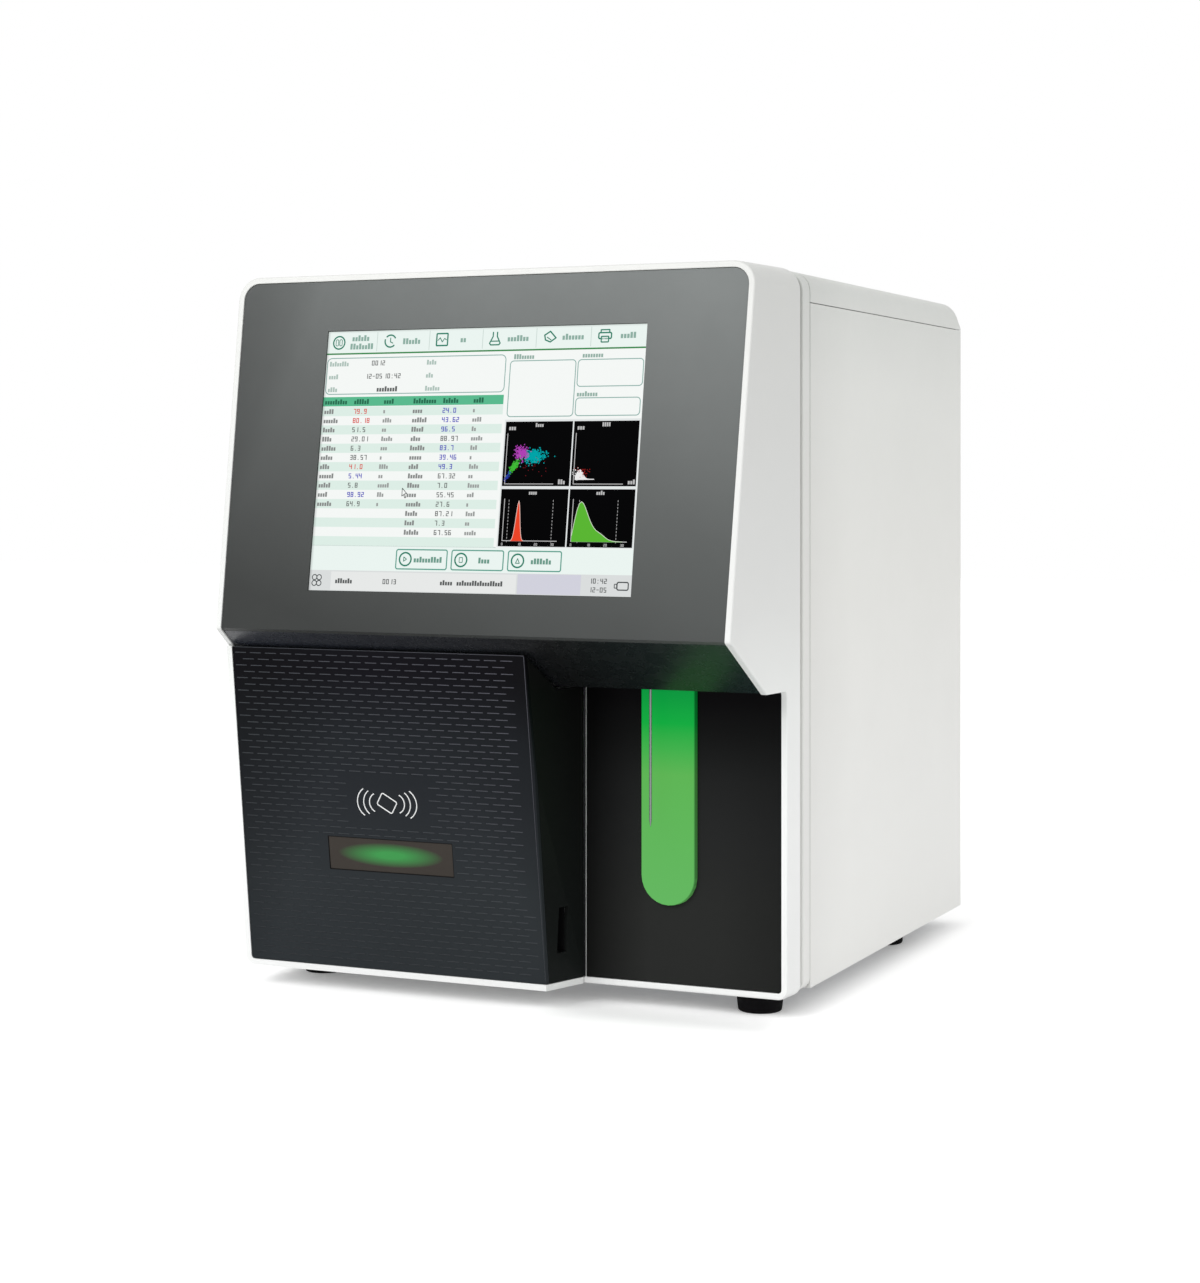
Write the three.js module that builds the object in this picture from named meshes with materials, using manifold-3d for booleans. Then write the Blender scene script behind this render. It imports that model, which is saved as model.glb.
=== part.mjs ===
// Bench-top hematology analyzer, built as separate pieces.
//
// Millimetres, +Z up, front facing -Y. While the pieces are worked out, Y is 0 at the foremost
// edge of the front housing (the lip under the screen) and Z is 0 on the table. The last lines
// move the whole group so that its origin is the centre of its footprint on the table.

import * as THREE from 'three';
import { mergeVertices } from 'three/addons/utils/BufferGeometryUtils.js';
import Module from 'manifold-3d';

const wasm = await Module();
wasm.setup();

// Overall sizes of the casing
const BODY_HALF_WIDTH = 177;
const BODY_DEPTH = 427;
const TOTAL_HEIGHT = 440;

// Shared clearances and walls
const GAP = 0.3;                  // seat clearance between pieces that touch in reality
const OVERRUN = 6;                // how far a cutting shape runs past what it cuts
const SHEET = 1.5;                // steel sheet of the casing and brackets
const CORNER_STEPS = 6;           // steps of a rounded corner
const ROUND_SIDES = 20;           // facets of a round piece
const SMALL_SIDES = 12;           // facets of a thin rod or hole

// Front housing
const BASE_HEIGHT = 12;           // underside of the casing above the table
const SIDE_DRAFT_SHARE = 0.09;    // how much the sides spread per unit of depth
const SIDE_STEP = 0.24;           // how far the casing stands out past the housing's rear edge
const RIM = 3.8;                  // white wall that shows as a rim round the dark panels
const TOP_CORNER_RADIUS = 14;
const BASE_CORNER_RADIUS = 6;
const LIP_HEIGHT = 224.2;
const BEZEL_LEAN_SHARE = 0.155;   // depth gained per unit of height by the screen panel
const CHIN_END_DEPTH = 47;
const SHOULDER_HEIGHT = 191.8;    // underside of the step over the sample bay
const BAY_DEPTH = 74;
const HOUSING_DEPTH = 94;
const PANEL_INSET = 0.8;          // how far the dark panels lie under the white rim
const PANEL_WALL = 2.7;
const POST_WIDTH = 1.4;           // upright between the door and the sample panel

// Casing behind the front housing
const TOP_STEP = 1.5;             // casing's top below the housing's
const BODY_BOTTOM = 13.5;
const BODY_CORNER_RADIUS = 12;
const REAR_EDGE_RADIUS = 14;
const GROOVE = 1.8;
const BAND_WIDTH = 12;
const TONGUE_WALL = 2.5;
const TONGUE_DEPTH = 8;
const COVER_DROP = 18.5;          // seam of the top cover below the casing's top
const SEAM = 0.5;
const FLANGE = 12;
const PAN_EDGE = 14;
const REAR_INSET = 5.5;           // rear panel's outer face, ahead of the casing's rear edge
const REAR_TONGUE_HEIGHT = 9;

// Feet
const FOOT_RADIUS = 14.4;
const FOOT_TAPER = 1.5;
const FOOT_TO_SIDE = 28.3;
const FRONT_FOOT_DEPTH = 99;
const REAR_FOOT_TO_REAR = 90;

// Screen, in a panel with these margins
const SCREEN_SIDE_MARGIN = 62.7;
const SCREEN_TOP_MARGIN = 35.17;
const SCREEN_RISE = 24.8;         // from the lip to the lower edge of the screen, along the panel
const GLASS_INSET = 0.7;
const MODULE_BORDER = 8;
const MODULE_DEPTH = 16;

// Door
const DOOR_TOP_DEPTH = 14;        // depth of the door face at DOOR_TOP_HEIGHT
const DOOR_TOP_HEIGHT = 216;
const DOOR_LEAN_SHARE = 0.1375;
const BAY_WIDTH = 132.4;          // from the door's rear right edge to the casing's right side
const DOOR_SLANT_TOP = 11.2;      // how far the door's front right edge lies left of its rear one
const DOOR_SLANT_BOTTOM = 9.4;
const DOOR_CLEARANCE = 1.2;       // running gap above and behind the door
const SKIN = 2;
const SKIN_INSET = 0.5;
const SIDE_SKIN = 2.5;
const DOOR_WALL = 2.5;
const KNUCKLE_RADIUS = 5;
const KNUCKLE_CLEARANCE = 2.2;
const PIN_RADIUS = 2;
const PIN_INSET = 4;
const EAR_THICKNESS = 5;
const EAR_RADIUS = 4.5;
const EAR_CLEARANCE = 0.8;
const EAR_HEIGHTS = [45, 150];
const BRACKET_MARGIN = 12;
const WINDOW_WIDTH = 85;
const WINDOW_HEIGHT = 20.4;
const WINDOW_OFFSET = 2.05;       // window's middle to the right of the door's
const WINDOW_Z = 87;
const LAMP_WIDTH = 66;
const LAMP_HEIGHT = 13;
const LAMP_DEPTH = 9;
const READER_WIDTH = 62;
const READER_HEIGHT = 44;
const READER_THICKNESS = 1.6;
const READER_Z = 128;
const SLOT_DEPTH_START = 49.5;
const SLOT_LENGTH = 8;
const SLOT_BOTTOM = 33.4;
const SLOT_HEIGHT = 27.3;
const MAGNET_WIDTH = 9;
const MAGNET_HEIGHT = 22;
const MAGNET_Z = 120;

// Sample station
const KEY_TO_SIDE = 76.3;
const KEY_WIDTH = 34.4;
const KEY_BOTTOM = 62.7;
const KEY_PROUD = 3;
const KEY_TRAVEL = 2.5;
const KEY_CLEARANCE = 0.5;
const KEY_FLANGE = 3;
const KEY_FLANGE_WALL = 2;
const CARRIER_WALL = 2.5;
const CARRIER_HEIGHT = 46;
const CARRIER_SIDE_GAP = 1.5;
const SWITCH_SIZE = 12;
const SWITCH_DEPTH = 2;
const PROBE_TO_KEY = 7;           // needle to the left of the key's middle
const PROBE_DEPTH = 62;
const PROBE_RADIUS = 0.8;
const PROBE_TIP_HEIGHT = 110.4;
const PROBE_TRAVEL = 84;
const PROBE_HOLE_RADIUS = 4;
const PROBE_TAIL = 7;
const WASH_SIZE = 15;
const WASH_HEIGHT = 12;

// Probe lift
const ROD_RADIUS = 3;
const ROD_SPAN = 38;
const ROD_DEPTH = 82;
const LIFT_WALL = 3;
const LIFT_EAR = 9;
const CARRIAGE_HEIGHT = 22;
const CARRIAGE_RISE = 18;         // carriage underside above the wash block
const CARRIAGE_MARGIN = 6;
const ARM_HEIGHT = 10;
const LIFT_HEADROOM = 8;
const PULLEY_RADIUS = 8;
const PULLEY_WIDTH = 8;
const BELT_WALL = 1.2;
const BELT_WIDTH = 6;
const BELT_OFFSET = 42;           // pulley axis to the right of the guide rods' middle
const SHAFT_RADIUS = 2.5;
const MOTOR_SIZE = 42;
const MOTOR_LENGTH = 34;
const SHAFT_ENGAGEMENT = 9;
const LIFT_TO_BULKHEAD = 51;      // depth of the lift bracket's side flanges

// Reagent compartment
const LINER_TO_EARS = 2.3;
const LINER_TO_POST = 4.4;
const LINER_FRONT = 76;
const LINER_WALL = 2;
const LINER_HEIGHT = 166;
const BOTTLE_SIDE_GAP = 14.45;
const BOTTLE_MIDDLE_GAP = 22;
const BOTTLE_DEPTH = 58;
const BOTTLE_HEIGHT = 112;
const BOTTLE_CORNER = 9;
const SHOULDER_RISE = 9;
const NECK_RADIUS = 13;
const NECK_HEIGHT = 14;
const CAP_WALL = 2;
const CAP_HEIGHT = 16;

// Inner plates and modules
const BULKHEAD_DROP = 25.5;
const CABLE_HOLE_WIDTH = 90;
const CABLE_HOLE_HEIGHT = 15;
const BATH_TO_PROBE = 1.7;
const BATH_WIDTH = 74;
const BATH_DEPTH = 34;
const BATH_HEIGHT = 52;
const BATH_RISE = 106;
const WELL_RADIUS = 11;
const WELL_SPACING = 34;
const WELL_DEPTH = 40;
const PUMP_RISE = 53;
const PUMP_RADIUS = 26;
const PUMP_BORE = 20;
const PUMP_WIDTH = 17;
const PUMP_BACK = 3;
const PUMP_MOTOR_RADIUS = 15;
const PUMP_MOTOR_LENGTH = 30;
const ROLLER_REACH = 18.5;
const ROLLER_WIDTH = 7;
const ROLLER_COUNT = 3;
const ROTOR_HUB = 7;
const ROTOR_SHAFT = 3;
const SYRINGE_TO_SIDE = 29;
const SYRINGE_RADIUS = 9;
const SYRINGE_WALL = 1.8;
const SYRINGE_RISE = 76;
const SYRINGE_NOZZLE = 1.5;
const SYRINGE_LUG = 16;
const PISTON_HEAD = 9;
const PISTON_START = 14;
const PISTON_TRAVEL = 28;
const PISTON_END_GAP = 2;         // left above the piston at the top of its stroke
const PISTON_ENGAGEMENT = 4;      // left of the rod in its drive at the top of the stroke
const PISTON_ROD = 2.5;
const DRIVE_SIZE = 28;
const DRIVE_HEIGHT = 42;
const DRIVE_BORE_DEPTH = PISTON_TRAVEL + PISTON_ENGAGEMENT;
const VALVE_COUNT = 5;
const VALVE_RADIUS = 8;
const VALVE_LENGTH = 26;
const VALVE_PITCH = 24;
const VALVE_TO_SIDE = 113;
const VALVE_Z = 216;
const MANIFOLD_HEIGHT = 20;
const MANIFOLD_DEPTH = 22;
const BOARD_WIDTH = 200;
const BOARD_DROP = 22;
const BOARD_TO_SIDE = 117;
const BOARD_Z = 240;
const BOARD_WALL = 1.6;
const STANDOFF = 6;
const STANDOFF_RADIUS = 3;
const CHIP_SIZE = 28;
const CHIP_HEIGHT = 3;
const SUPPLY_WIDTH = 98;
const SUPPLY_LENGTH = 130;
const SUPPLY_HEIGHT = 52;
const SUPPLY_TO_SIDE = 59;
const SUPPLY_REAR_CLEARANCE = 50;
const OPTICS_TO_SIDE = 99;
const OPTICS_DEPTH = 262;
const OPTICS_WIDTH = 150;
const OPTICS_LENGTH = 120;
const OPTICS_PLATE = 10;
const OPTICS_LEG_RADIUS = 8;
const OPTICS_LEG_HEIGHT = 22;
const LASER_RADIUS = 13;
const LASER_LENGTH = 56;
const FLOW_CELL_SIZE = 30;
const FLOW_CELL_HEIGHT = 46;
const DETECTOR_WIDTH = 40;
const DETECTOR_HEIGHT = 38;

// Rear fittings
const FAN_SIZE = 80;
const FAN_DEPTH = 25;
const FAN_TO_SIDE = 81;
const FAN_DROP = 97.5;
const FAN_BORE = 37.5;
const FAN_HUB = 16;
const FAN_BLADE_REACH = 36;
const FAN_BLADES = 7;
const FAN_BLADE_WIDTH = 13;
const FAN_BLADE_WALL = 1.8;
const FAN_BLADE_TWIST = 0.7;
const FAN_SPOKE = 5;
const FAN_BACK = 3;
const GUARD_WIRE = 1.6;
const GUARD_RINGS = 3;
const INLET_TO_SIDE = 59;
const INLET_Z = 60;
const INLET_WIDTH = 32;
const INLET_HEIGHT = 58;
const INLET_FLANGE = 4;
const INLET_FLANGE_WALL = 2.4;
const INLET_DEPTH = 26;
const SOCKET_WIDTH = 24;
const SOCKET_HEIGHT = 16.5;
const SOCKET_DEPTH = 16;
const BLADE_WIDTH = 2;
const BLADE_HEIGHT = 4;
const BLADE_LENGTH = 9;
const BLADE_PITCH = 7;
const ROCKER_WIDTH = 21;
const ROCKER_RADIUS = 9;
const ROCKER_EDGE = 2.6;          // how far the ends of the rocker's face stand behind its pivot
const ROCKER_DIP = 1.2;
const ROCKER_TILT = 0.2;
const ROCKER_CLEARANCE = 0.6;
const ROCKER_SINK = 2;            // pivot ahead of the inlet's outer face
const ROCKER_MARGIN = 5;
const PORTS_X = 10;
const PORTS_Z = 250;
const PORTS_WIDTH = 76;
const PORTS_HEIGHT = 22;
const PORTS_FLANGE = 4;
const PORTS_FLANGE_WALL = 2;
const PORTS_DEPTH = 18;
const USB_WIDTH = 13;
const USB_HEIGHT = 5.6;
const LAN_WIDTH = 12;
const LAN_HEIGHT = 8.5;
const PORT_DEPTH = 13;
const PORT_PITCH = 21;
const FLUID_TO_SIDE = 85;
const FLUID_Z = 92;
const FLUID_WIDTH = 112;
const FLUID_HEIGHT = 26;
const FLUID_PLATE = 3;
const FLUID_COUNT = 4;
const FLUID_PITCH = 26;
const FLUID_NIPPLE = 4.5;
const FLUID_BORE = 1.5;
const FLUID_BORE_DEPTH = 12;
const FLUID_NUT = 8;
const FLUID_NUT_WALL = 1.6;
const NUT_SIDES = 6;
const FLUID_TAIL = 12;
const VENT_COUNT = 7;
const VENT_WIDTH = 60;
const VENT_HEIGHT = 3;
const VENT_PITCH = 12;
const VENT_TO_SIDE = 73;
const VENT_DROP = 107.5;

// Planes and depths that several pieces share
const halfWidthAt = (depth) => BODY_HALF_WIDTH - SIDE_STEP - SIDE_DRAFT_SHARE * (HOUSING_DEPTH - depth);
const WIDE = BODY_HALF_WIDTH + OVERRUN;
const BODY_TOP = TOTAL_HEIGHT - TOP_STEP;
const SEAM_HEIGHT = BODY_TOP - COVER_DROP;
const PANEL_LENGTH = (TOTAL_HEIGHT - LIP_HEIGHT) * Math.hypot(1, BEZEL_LEAN_SHARE);
const SCREEN_HEIGHT = PANEL_LENGTH - SCREEN_RISE - SCREEN_TOP_MARGIN;
const SCREEN_WIDTH = 2 * (halfWidthAt(0) - SCREEN_SIDE_MARGIN);
const BAND_FRONT = HOUSING_DEPTH + GROOVE;
const BAND_REAR = BAND_FRONT + BAND_WIDTH;
const CASE_FRONT = BAND_REAR + SEAM;
const TONGUE_FRONT = HOUSING_DEPTH - TONGUE_DEPTH;
const PAN_UNDERSIDE = BODY_BOTTOM + SHEET + GAP;
const PAN_TOP = PAN_UNDERSIDE + SHEET;
const REAR_FACE = BODY_DEPTH - REAR_INSET;
const REAR_INNER = REAR_FACE - SHEET;
const INNER_HALF_WIDTH = BODY_HALF_WIDTH - SHEET - GAP;
const PANEL_FACE = BAY_DEPTH + PANEL_INSET;
const PANEL_BACK = PANEL_FACE + PANEL_WALL;
const CEILING_UNDERSIDE = SHOULDER_HEIGHT + PANEL_INSET;
const CEILING_TOP = CEILING_UNDERSIDE + PANEL_WALL;
const DOOR_BACK = BAY_DEPTH - DOOR_CLEARANCE;
const DOOR_RIGHT_REAR = BODY_HALF_WIDTH - BAY_WIDTH;
const DOOR_RIGHT_TOP = DOOR_RIGHT_REAR - DOOR_SLANT_TOP;
const DOOR_RIGHT_BOTTOM = DOOR_RIGHT_REAR - DOOR_SLANT_BOTTOM;
const WINDOW_X = (DOOR_RIGHT_BOTTOM - halfWidthAt(0)) / 2 + WINDOW_OFFSET;
const HINGE_DEPTH = BAY_DEPTH - KNUCKLE_RADIUS - KNUCKLE_CLEARANCE;
const HINGE_X = KNUCKLE_RADIUS - halfWidthAt(HINGE_DEPTH);
const POST_LEFT = DOOR_RIGHT_REAR + GAP;
const POST_RIGHT = POST_LEFT + POST_WIDTH;
const LINER_LEFT = HINGE_X + EAR_RADIUS + LINER_TO_EARS;
const LINER_RIGHT = POST_LEFT - LINER_TO_POST;
const KEY_X = BODY_HALF_WIDTH - KEY_TO_SIDE;
const PROBE_X = KEY_X - PROBE_TO_KEY;
const WASH_TOP = CEILING_TOP + GAP + WASH_HEIGHT;
const CARRIAGE_BOTTOM = WASH_TOP + CARRIAGE_RISE;
const CARRIAGE_TOP = CARRIAGE_BOTTOM + CARRIAGE_HEIGHT;
const LIFT_BOTTOM = WASH_TOP - LIFT_WALL;
const LIFT_TOP = CARRIAGE_TOP + PROBE_TRAVEL + LIFT_HEADROOM;
const ROD_MIDDLE = PROBE_X;
const BELT_X = ROD_MIDDLE + BELT_OFFSET;
const LIFT_PLATE = ROD_DEPTH + LIFT_EAR + PULLEY_WIDTH;
const BULKHEAD_FRONT = LIFT_PLATE + LIFT_WALL + LIFT_TO_BULKHEAD + GAP;
const BULKHEAD_REAR = BULKHEAD_FRONT + SHEET;
const SEAT_ON_BULKHEAD = BULKHEAD_FRONT - GAP;
const BULKHEAD_TOP = BODY_TOP - BULKHEAD_DROP;
const BATH_X = PROBE_X - BATH_TO_PROBE;
const PUMP_X = BATH_X;
const SYRINGE_X = BODY_HALF_WIDTH - SYRINGE_TO_SIDE;
const VALVE_X = VALVE_TO_SIDE - BODY_HALF_WIDTH;
const BOARD_X = BOARD_TO_SIDE - BODY_HALF_WIDTH;
const BOARD_HEIGHT = BULKHEAD_TOP - BOARD_DROP - BOARD_Z;
const SUPPLY_X = SUPPLY_TO_SIDE - BODY_HALF_WIDTH;
const OPTICS_X = BODY_HALF_WIDTH - OPTICS_TO_SIDE;
const FAN_X = BODY_HALF_WIDTH - FAN_TO_SIDE;
const FAN_Z = BODY_TOP - FAN_DROP;
const INLET_X = INLET_TO_SIDE - BODY_HALF_WIDTH;
const FLUID_X = BODY_HALF_WIDTH - FLUID_TO_SIDE;
const VENT_X = VENT_TO_SIDE - BODY_HALF_WIDTH;
const VENT_Z = BODY_TOP - VENT_DROP;

// Solids and meshes

function solidOf(geometry) {
  const bare = geometry.clone();
  bare.deleteAttribute('normal');
  bare.deleteAttribute('uv');
  const merged = mergeVertices(bare);
  return new wasm.Manifold(new wasm.Mesh({
    numProp: 3,
    vertProperties: new Float32Array(merged.attributes.position.array),
    triVerts: new Uint32Array(merged.index.array),
  }));
}

function geometryOf(solid) {
  const mesh = solid.getMesh();
  const geometry = new THREE.BufferGeometry();
  geometry.setAttribute('position', new THREE.BufferAttribute(mesh.vertProperties, mesh.numProp));
  geometry.setIndex(new THREE.BufferAttribute(mesh.triVerts, 1));
  geometry.computeVertexNormals();
  return geometry;
}

const join = (first, ...others) => others.reduce((sum, next) => sum.add(next), first);
const cut = (first, ...others) => others.reduce((rest, next) => rest.subtract(next), first);
const common = (first, ...others) => others.reduce((rest, next) => rest.intersect(next), first);

const analyzer = new THREE.Group();

function addPiece(name, solid, finish, parent = analyzer) {
  const mesh = new THREE.Mesh(geometryOf(solid), new THREE.MeshStandardMaterial(finish));
  mesh.name = name;
  parent.add(mesh);
}

// Finishes, as colour, roughness and metalness
const WHITE_PLASTIC = { color: 0xf2f3f1, roughness: 0.4, metalness: 0 };
const WARM_WHITE = { color: 0xe3e4e0, roughness: 0.5, metalness: 0 };
const BEZEL_GREY = { color: 0x5a5d5c, roughness: 0.45, metalness: 0 };
const DOOR_BLACK = { color: 0x2a2e32, roughness: 0.4, metalness: 0 };
const GLOSS_BLACK = { color: 0x17191a, roughness: 0.15, metalness: 0 };
const PANEL_BLACK = { color: 0x232525, roughness: 0.35, metalness: 0 };
const SCREEN_GLASS = { color: 0xe8f2ec, roughness: 0.1, metalness: 0 };
const KEY_GREEN = { color: 0x3fae49, roughness: 0.25, metalness: 0 };
const SMOKED_BROWN = { color: 0x443c36, roughness: 0.15, metalness: 0 };
const RUBBER_BLACK = { color: 0x1b1b1b, roughness: 0.9, metalness: 0 };
const BARE_STEEL = { color: 0xb8bbbd, roughness: 0.35, metalness: 0.9 };
const ZINC_STEEL = { color: 0x9fa3a6, roughness: 0.45, metalness: 0.8 };
const INNER_GREY = { color: 0xc9cccc, roughness: 0.6, metalness: 0 };
const BOTTLE_WHITE = { color: 0xeceae2, roughness: 0.5, metalness: 0 };
const CAP_BLUE = { color: 0x2f5f9e, roughness: 0.5, metalness: 0 };
const CLEAR_PLASTIC = { color: 0xd7e2e6, roughness: 0.2, metalness: 0 };
const BOARD_GREEN = { color: 0x1f6b3f, roughness: 0.5, metalness: 0 };
const ENGINE_BLACK = { color: 0x202020, roughness: 0.6, metalness: 0 };
const ANODISED = { color: 0x4a4d52, roughness: 0.45, metalness: 0.6 };

// Outlines, as lists of points

function arc(centreA, centreB, radius, fromTurn, toTurn, steps) {
  const points = [];
  for (let i = 0; i <= steps; i++) {
    const angle = 2 * Math.PI * (fromTurn + ((toTurn - fromTurn) * i) / steps);
    points.push([centreA + radius * Math.cos(angle), centreB + radius * Math.sin(angle)]);
  }
  return points;
}

const circle = (centreA, centreB, radius, sides = ROUND_SIDES) =>
  arc(centreA, centreB, radius, 0, 1, sides).slice(0, -1);

const rectangle = (left, right, bottom, top) =>
  [[left, bottom], [right, bottom], [right, top], [left, top]];

// Rectangle with one radius for its lower corners and one for its upper corners
function roundedRectangle(left, right, bottom, top, lowerRadius, upperRadius) {
  return [
    ...arc(left + lowerRadius, bottom + lowerRadius, lowerRadius, 0.5, 0.75, CORNER_STEPS),
    ...arc(right - lowerRadius, bottom + lowerRadius, lowerRadius, 0.75, 1, CORNER_STEPS),
    ...arc(right - upperRadius, top - upperRadius, upperRadius, 0, 0.25, CORNER_STEPS),
    ...arc(left + upperRadius, top - upperRadius, upperRadius, 0.25, 0.5, CORNER_STEPS),
  ];
}

// Straight line in the side view (depth, height), with `inward` pointing into the housing
function sideLine(depth, height, alongDepth, alongHeight, inwardDepth, inwardHeight) {
  const along = new THREE.Vector2(alongDepth, alongHeight).normalize();
  const inward = new THREE.Vector2(inwardDepth, inwardHeight).normalize();
  return (offset) => ({
    point: new THREE.Vector2(depth, height).addScaledVector(inward, offset),
    along,
  });
}

// Point where two such lines cross
function meet(first, second) {
  const apart = second.point.clone().sub(first.point);
  const reach = apart.cross(second.along) / first.along.cross(second.along);
  const point = first.point.clone().addScaledVector(first.along, reach);
  return [point.x, point.y];
}

const chinDrop = LIP_HEIGHT - SHOULDER_HEIGHT;
const bezelLine = sideLine(0, LIP_HEIGHT, BEZEL_LEAN_SHARE, 1, 1, -BEZEL_LEAN_SHARE);
const chinLine = sideLine(0, LIP_HEIGHT, CHIN_END_DEPTH, -chinDrop, chinDrop, CHIN_END_DEPTH);
const ceilingLine = sideLine(0, SHOULDER_HEIGHT, 1, 0, 0, 1);
const topLine = sideLine(0, TOTAL_HEIGHT, 1, 0, 0, -1);
const baseLine = sideLine(0, BASE_HEIGHT, 1, 0, 0, 1);
const doorLine = sideLine(DOOR_TOP_DEPTH, DOOR_TOP_HEIGHT, -DOOR_LEAN_SHARE, 1, 1, DOOR_LEAN_SHARE);
const uprightLine = (depth) => ({ point: new THREE.Vector2(depth, 0), along: new THREE.Vector2(0, 1) });
const levelLine = (height) => ({ point: new THREE.Vector2(0, height), along: new THREE.Vector2(1, 0) });

// Basic solids

// Straight prism along an axis. The outline is in (Y, Z) for x, (X, Z) for y and (X, Y) for z.
function prismGeometry(axis, outline, from, to, holes = []) {
  const shape = new THREE.Shape(outline.map(([a, b]) => new THREE.Vector2(a, b)));
  shape.holes = holes.map((hole) => new THREE.Path(hole.map(([a, b]) => new THREE.Vector2(a, b))));
  const geometry = new THREE.ExtrudeGeometry(shape, { depth: to - from, bevelEnabled: false });
  const x = new THREE.Vector3(1, 0, 0);
  const y = new THREE.Vector3(0, 1, 0);
  const z = new THREE.Vector3(0, 0, 1);
  const turn = new THREE.Matrix4();
  if (axis === 'x') turn.makeBasis(y, z, x).setPosition(from, 0, 0);
  if (axis === 'y') turn.makeBasis(x, z, y.negate()).setPosition(0, to, 0);
  if (axis === 'z') turn.setPosition(0, 0, from);
  return geometry.applyMatrix4(turn);
}

const prism = (axis, outline, from, to, holes) => solidOf(prismGeometry(axis, outline, from, to, holes));

const box = (left, right, front, rear, bottom, top) =>
  prism('z', rectangle(left, right, front, rear), bottom, top);

const rod = (axis, centreA, centreB, radius, from, to, sides = SMALL_SIDES) =>
  prism(axis, circle(centreA, centreB, radius, sides), from, to);

// Solid between two outlines with the same number of points, one at each end of an axis
function loft(axis, outlineFrom, outlineTo, from, to) {
  const count = outlineFrom.length;
  const place = axis === 'y' ? ([a, b], at) => [a, at, b] : ([a, b], at) => [a, b, at];
  const points = [
    ...outlineFrom.map((point) => place(point, from)),
    ...outlineTo.map((point) => place(point, to)),
  ];
  const faces = [];
  for (let i = 0; i < count; i++) {
    const next = (i + 1) % count;
    faces.push([i, count + i, next], [next, count + i, count + next]);
  }
  for (let i = 1; i < count - 1; i++) {
    faces.push([0, i, i + 1], [count, count + i + 1, count + i]);
  }
  const order = axis === 'y' ? (face) => face : ([a, b, c]) => [a, c, b];
  const geometry = new THREE.BufferGeometry();
  geometry.setAttribute('position', new THREE.Float32BufferAttribute(points.flat(), 3));
  geometry.setIndex(faces.map(order).flat());
  return solidOf(geometry);
}

// Turned piece: profile of [radius, along] points, starting and ending on the axis
function turned(axis, profile, centreA, centreB, from, sides = ROUND_SIDES) {
  const geometry = new THREE.LatheGeometry(profile.map(([r, h]) => new THREE.Vector2(r, h)), sides);
  if (axis === 'z') geometry.rotateX(Math.PI / 2).translate(centreA, centreB, from);
  if (axis === 'y') geometry.translate(centreA, from, centreB);
  return solidOf(geometry);
}

// Outer form of the front housing, drawn in by `inset` on its sides, top and underside
function envelope(inset) {
  const section = (depth) => roundedRectangle(
    inset - halfWidthAt(depth), halfWidthAt(depth) - inset, BASE_HEIGHT + inset, TOTAL_HEIGHT - inset,
    BASE_CORNER_RADIUS - inset, TOP_CORNER_RADIUS - inset);
  const rear = HOUSING_DEPTH + GROOVE + OVERRUN;
  return loft('y', section(-OVERRUN), section(rear), -OVERRUN, rear);
}

const sideProfile = (outline) => prism('x', outline, -WIDE, WIDE);

// Casing

const bodyOutline = (inset) => roundedRectangle(
  inset - BODY_HALF_WIDTH, BODY_HALF_WIDTH - inset, BODY_BOTTOM + inset, BODY_TOP - inset,
  BASE_CORNER_RADIUS, BODY_CORNER_RADIUS - Math.min(inset, BODY_CORNER_RADIUS - SHEET));

function makeFrontHousing() {
  const outer = sideProfile([
    [0, LIP_HEIGHT],
    meet(chinLine(0), ceilingLine(0)),
    [BAY_DEPTH, SHOULDER_HEIGHT],
    [BAY_DEPTH, BASE_HEIGHT - OVERRUN],
    [HOUSING_DEPTH, BASE_HEIGHT - OVERRUN],
    [HOUSING_DEPTH, TOTAL_HEIGHT + OVERRUN],
    meet(bezelLine(0), topLine(-OVERRUN)),
  ]);
  const ring = cut(common(envelope(0), outer), envelope(RIM));
  const post = box(POST_LEFT, POST_RIGHT, BAY_DEPTH, TONGUE_FRONT - GAP,
    BASE_HEIGHT + RIM / 2, CEILING_UNDERSIDE - GAP);
  addPiece('front_housing', join(ring, post), WHITE_PLASTIC);
}

function makeTrimBand() {
  const tongueInset = RIM + GAP;
  const inner = tongueInset + TONGUE_WALL;
  const tongue = cut(
    common(envelope(tongueInset), box(-WIDE, WIDE, TONGUE_FRONT, BAND_FRONT + GROOVE, 0, TOTAL_HEIGHT)),
    envelope(inner));
  const opening = BODY_HALF_WIDTH - halfWidthAt(HOUSING_DEPTH) + inner;
  const band = prism('y', bodyOutline(0), BAND_FRONT, BAND_REAR, [bodyOutline(opening)]);
  addPiece('trim_band', join(band, tongue), WARM_WHITE);
}

function makeSidePanel(name, side) {
  const outer = BODY_HALF_WIDTH;
  const top = SEAM_HEIGHT - SEAM / 2;
  const outline = [
    [outer, BODY_BOTTOM], [outer, top], [outer - FLANGE, top], [outer - FLANGE, top - SHEET],
    [outer - SHEET, top - SHEET], [outer - SHEET, BODY_BOTTOM + SHEET],
    [outer - FLANGE, BODY_BOTTOM + SHEET], [outer - FLANGE, BODY_BOTTOM],
  ].map(([x, z]) => [side * x, z]);
  addPiece(name, prism('y', outline, CASE_FRONT, BODY_DEPTH), WARM_WHITE);
}

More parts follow.
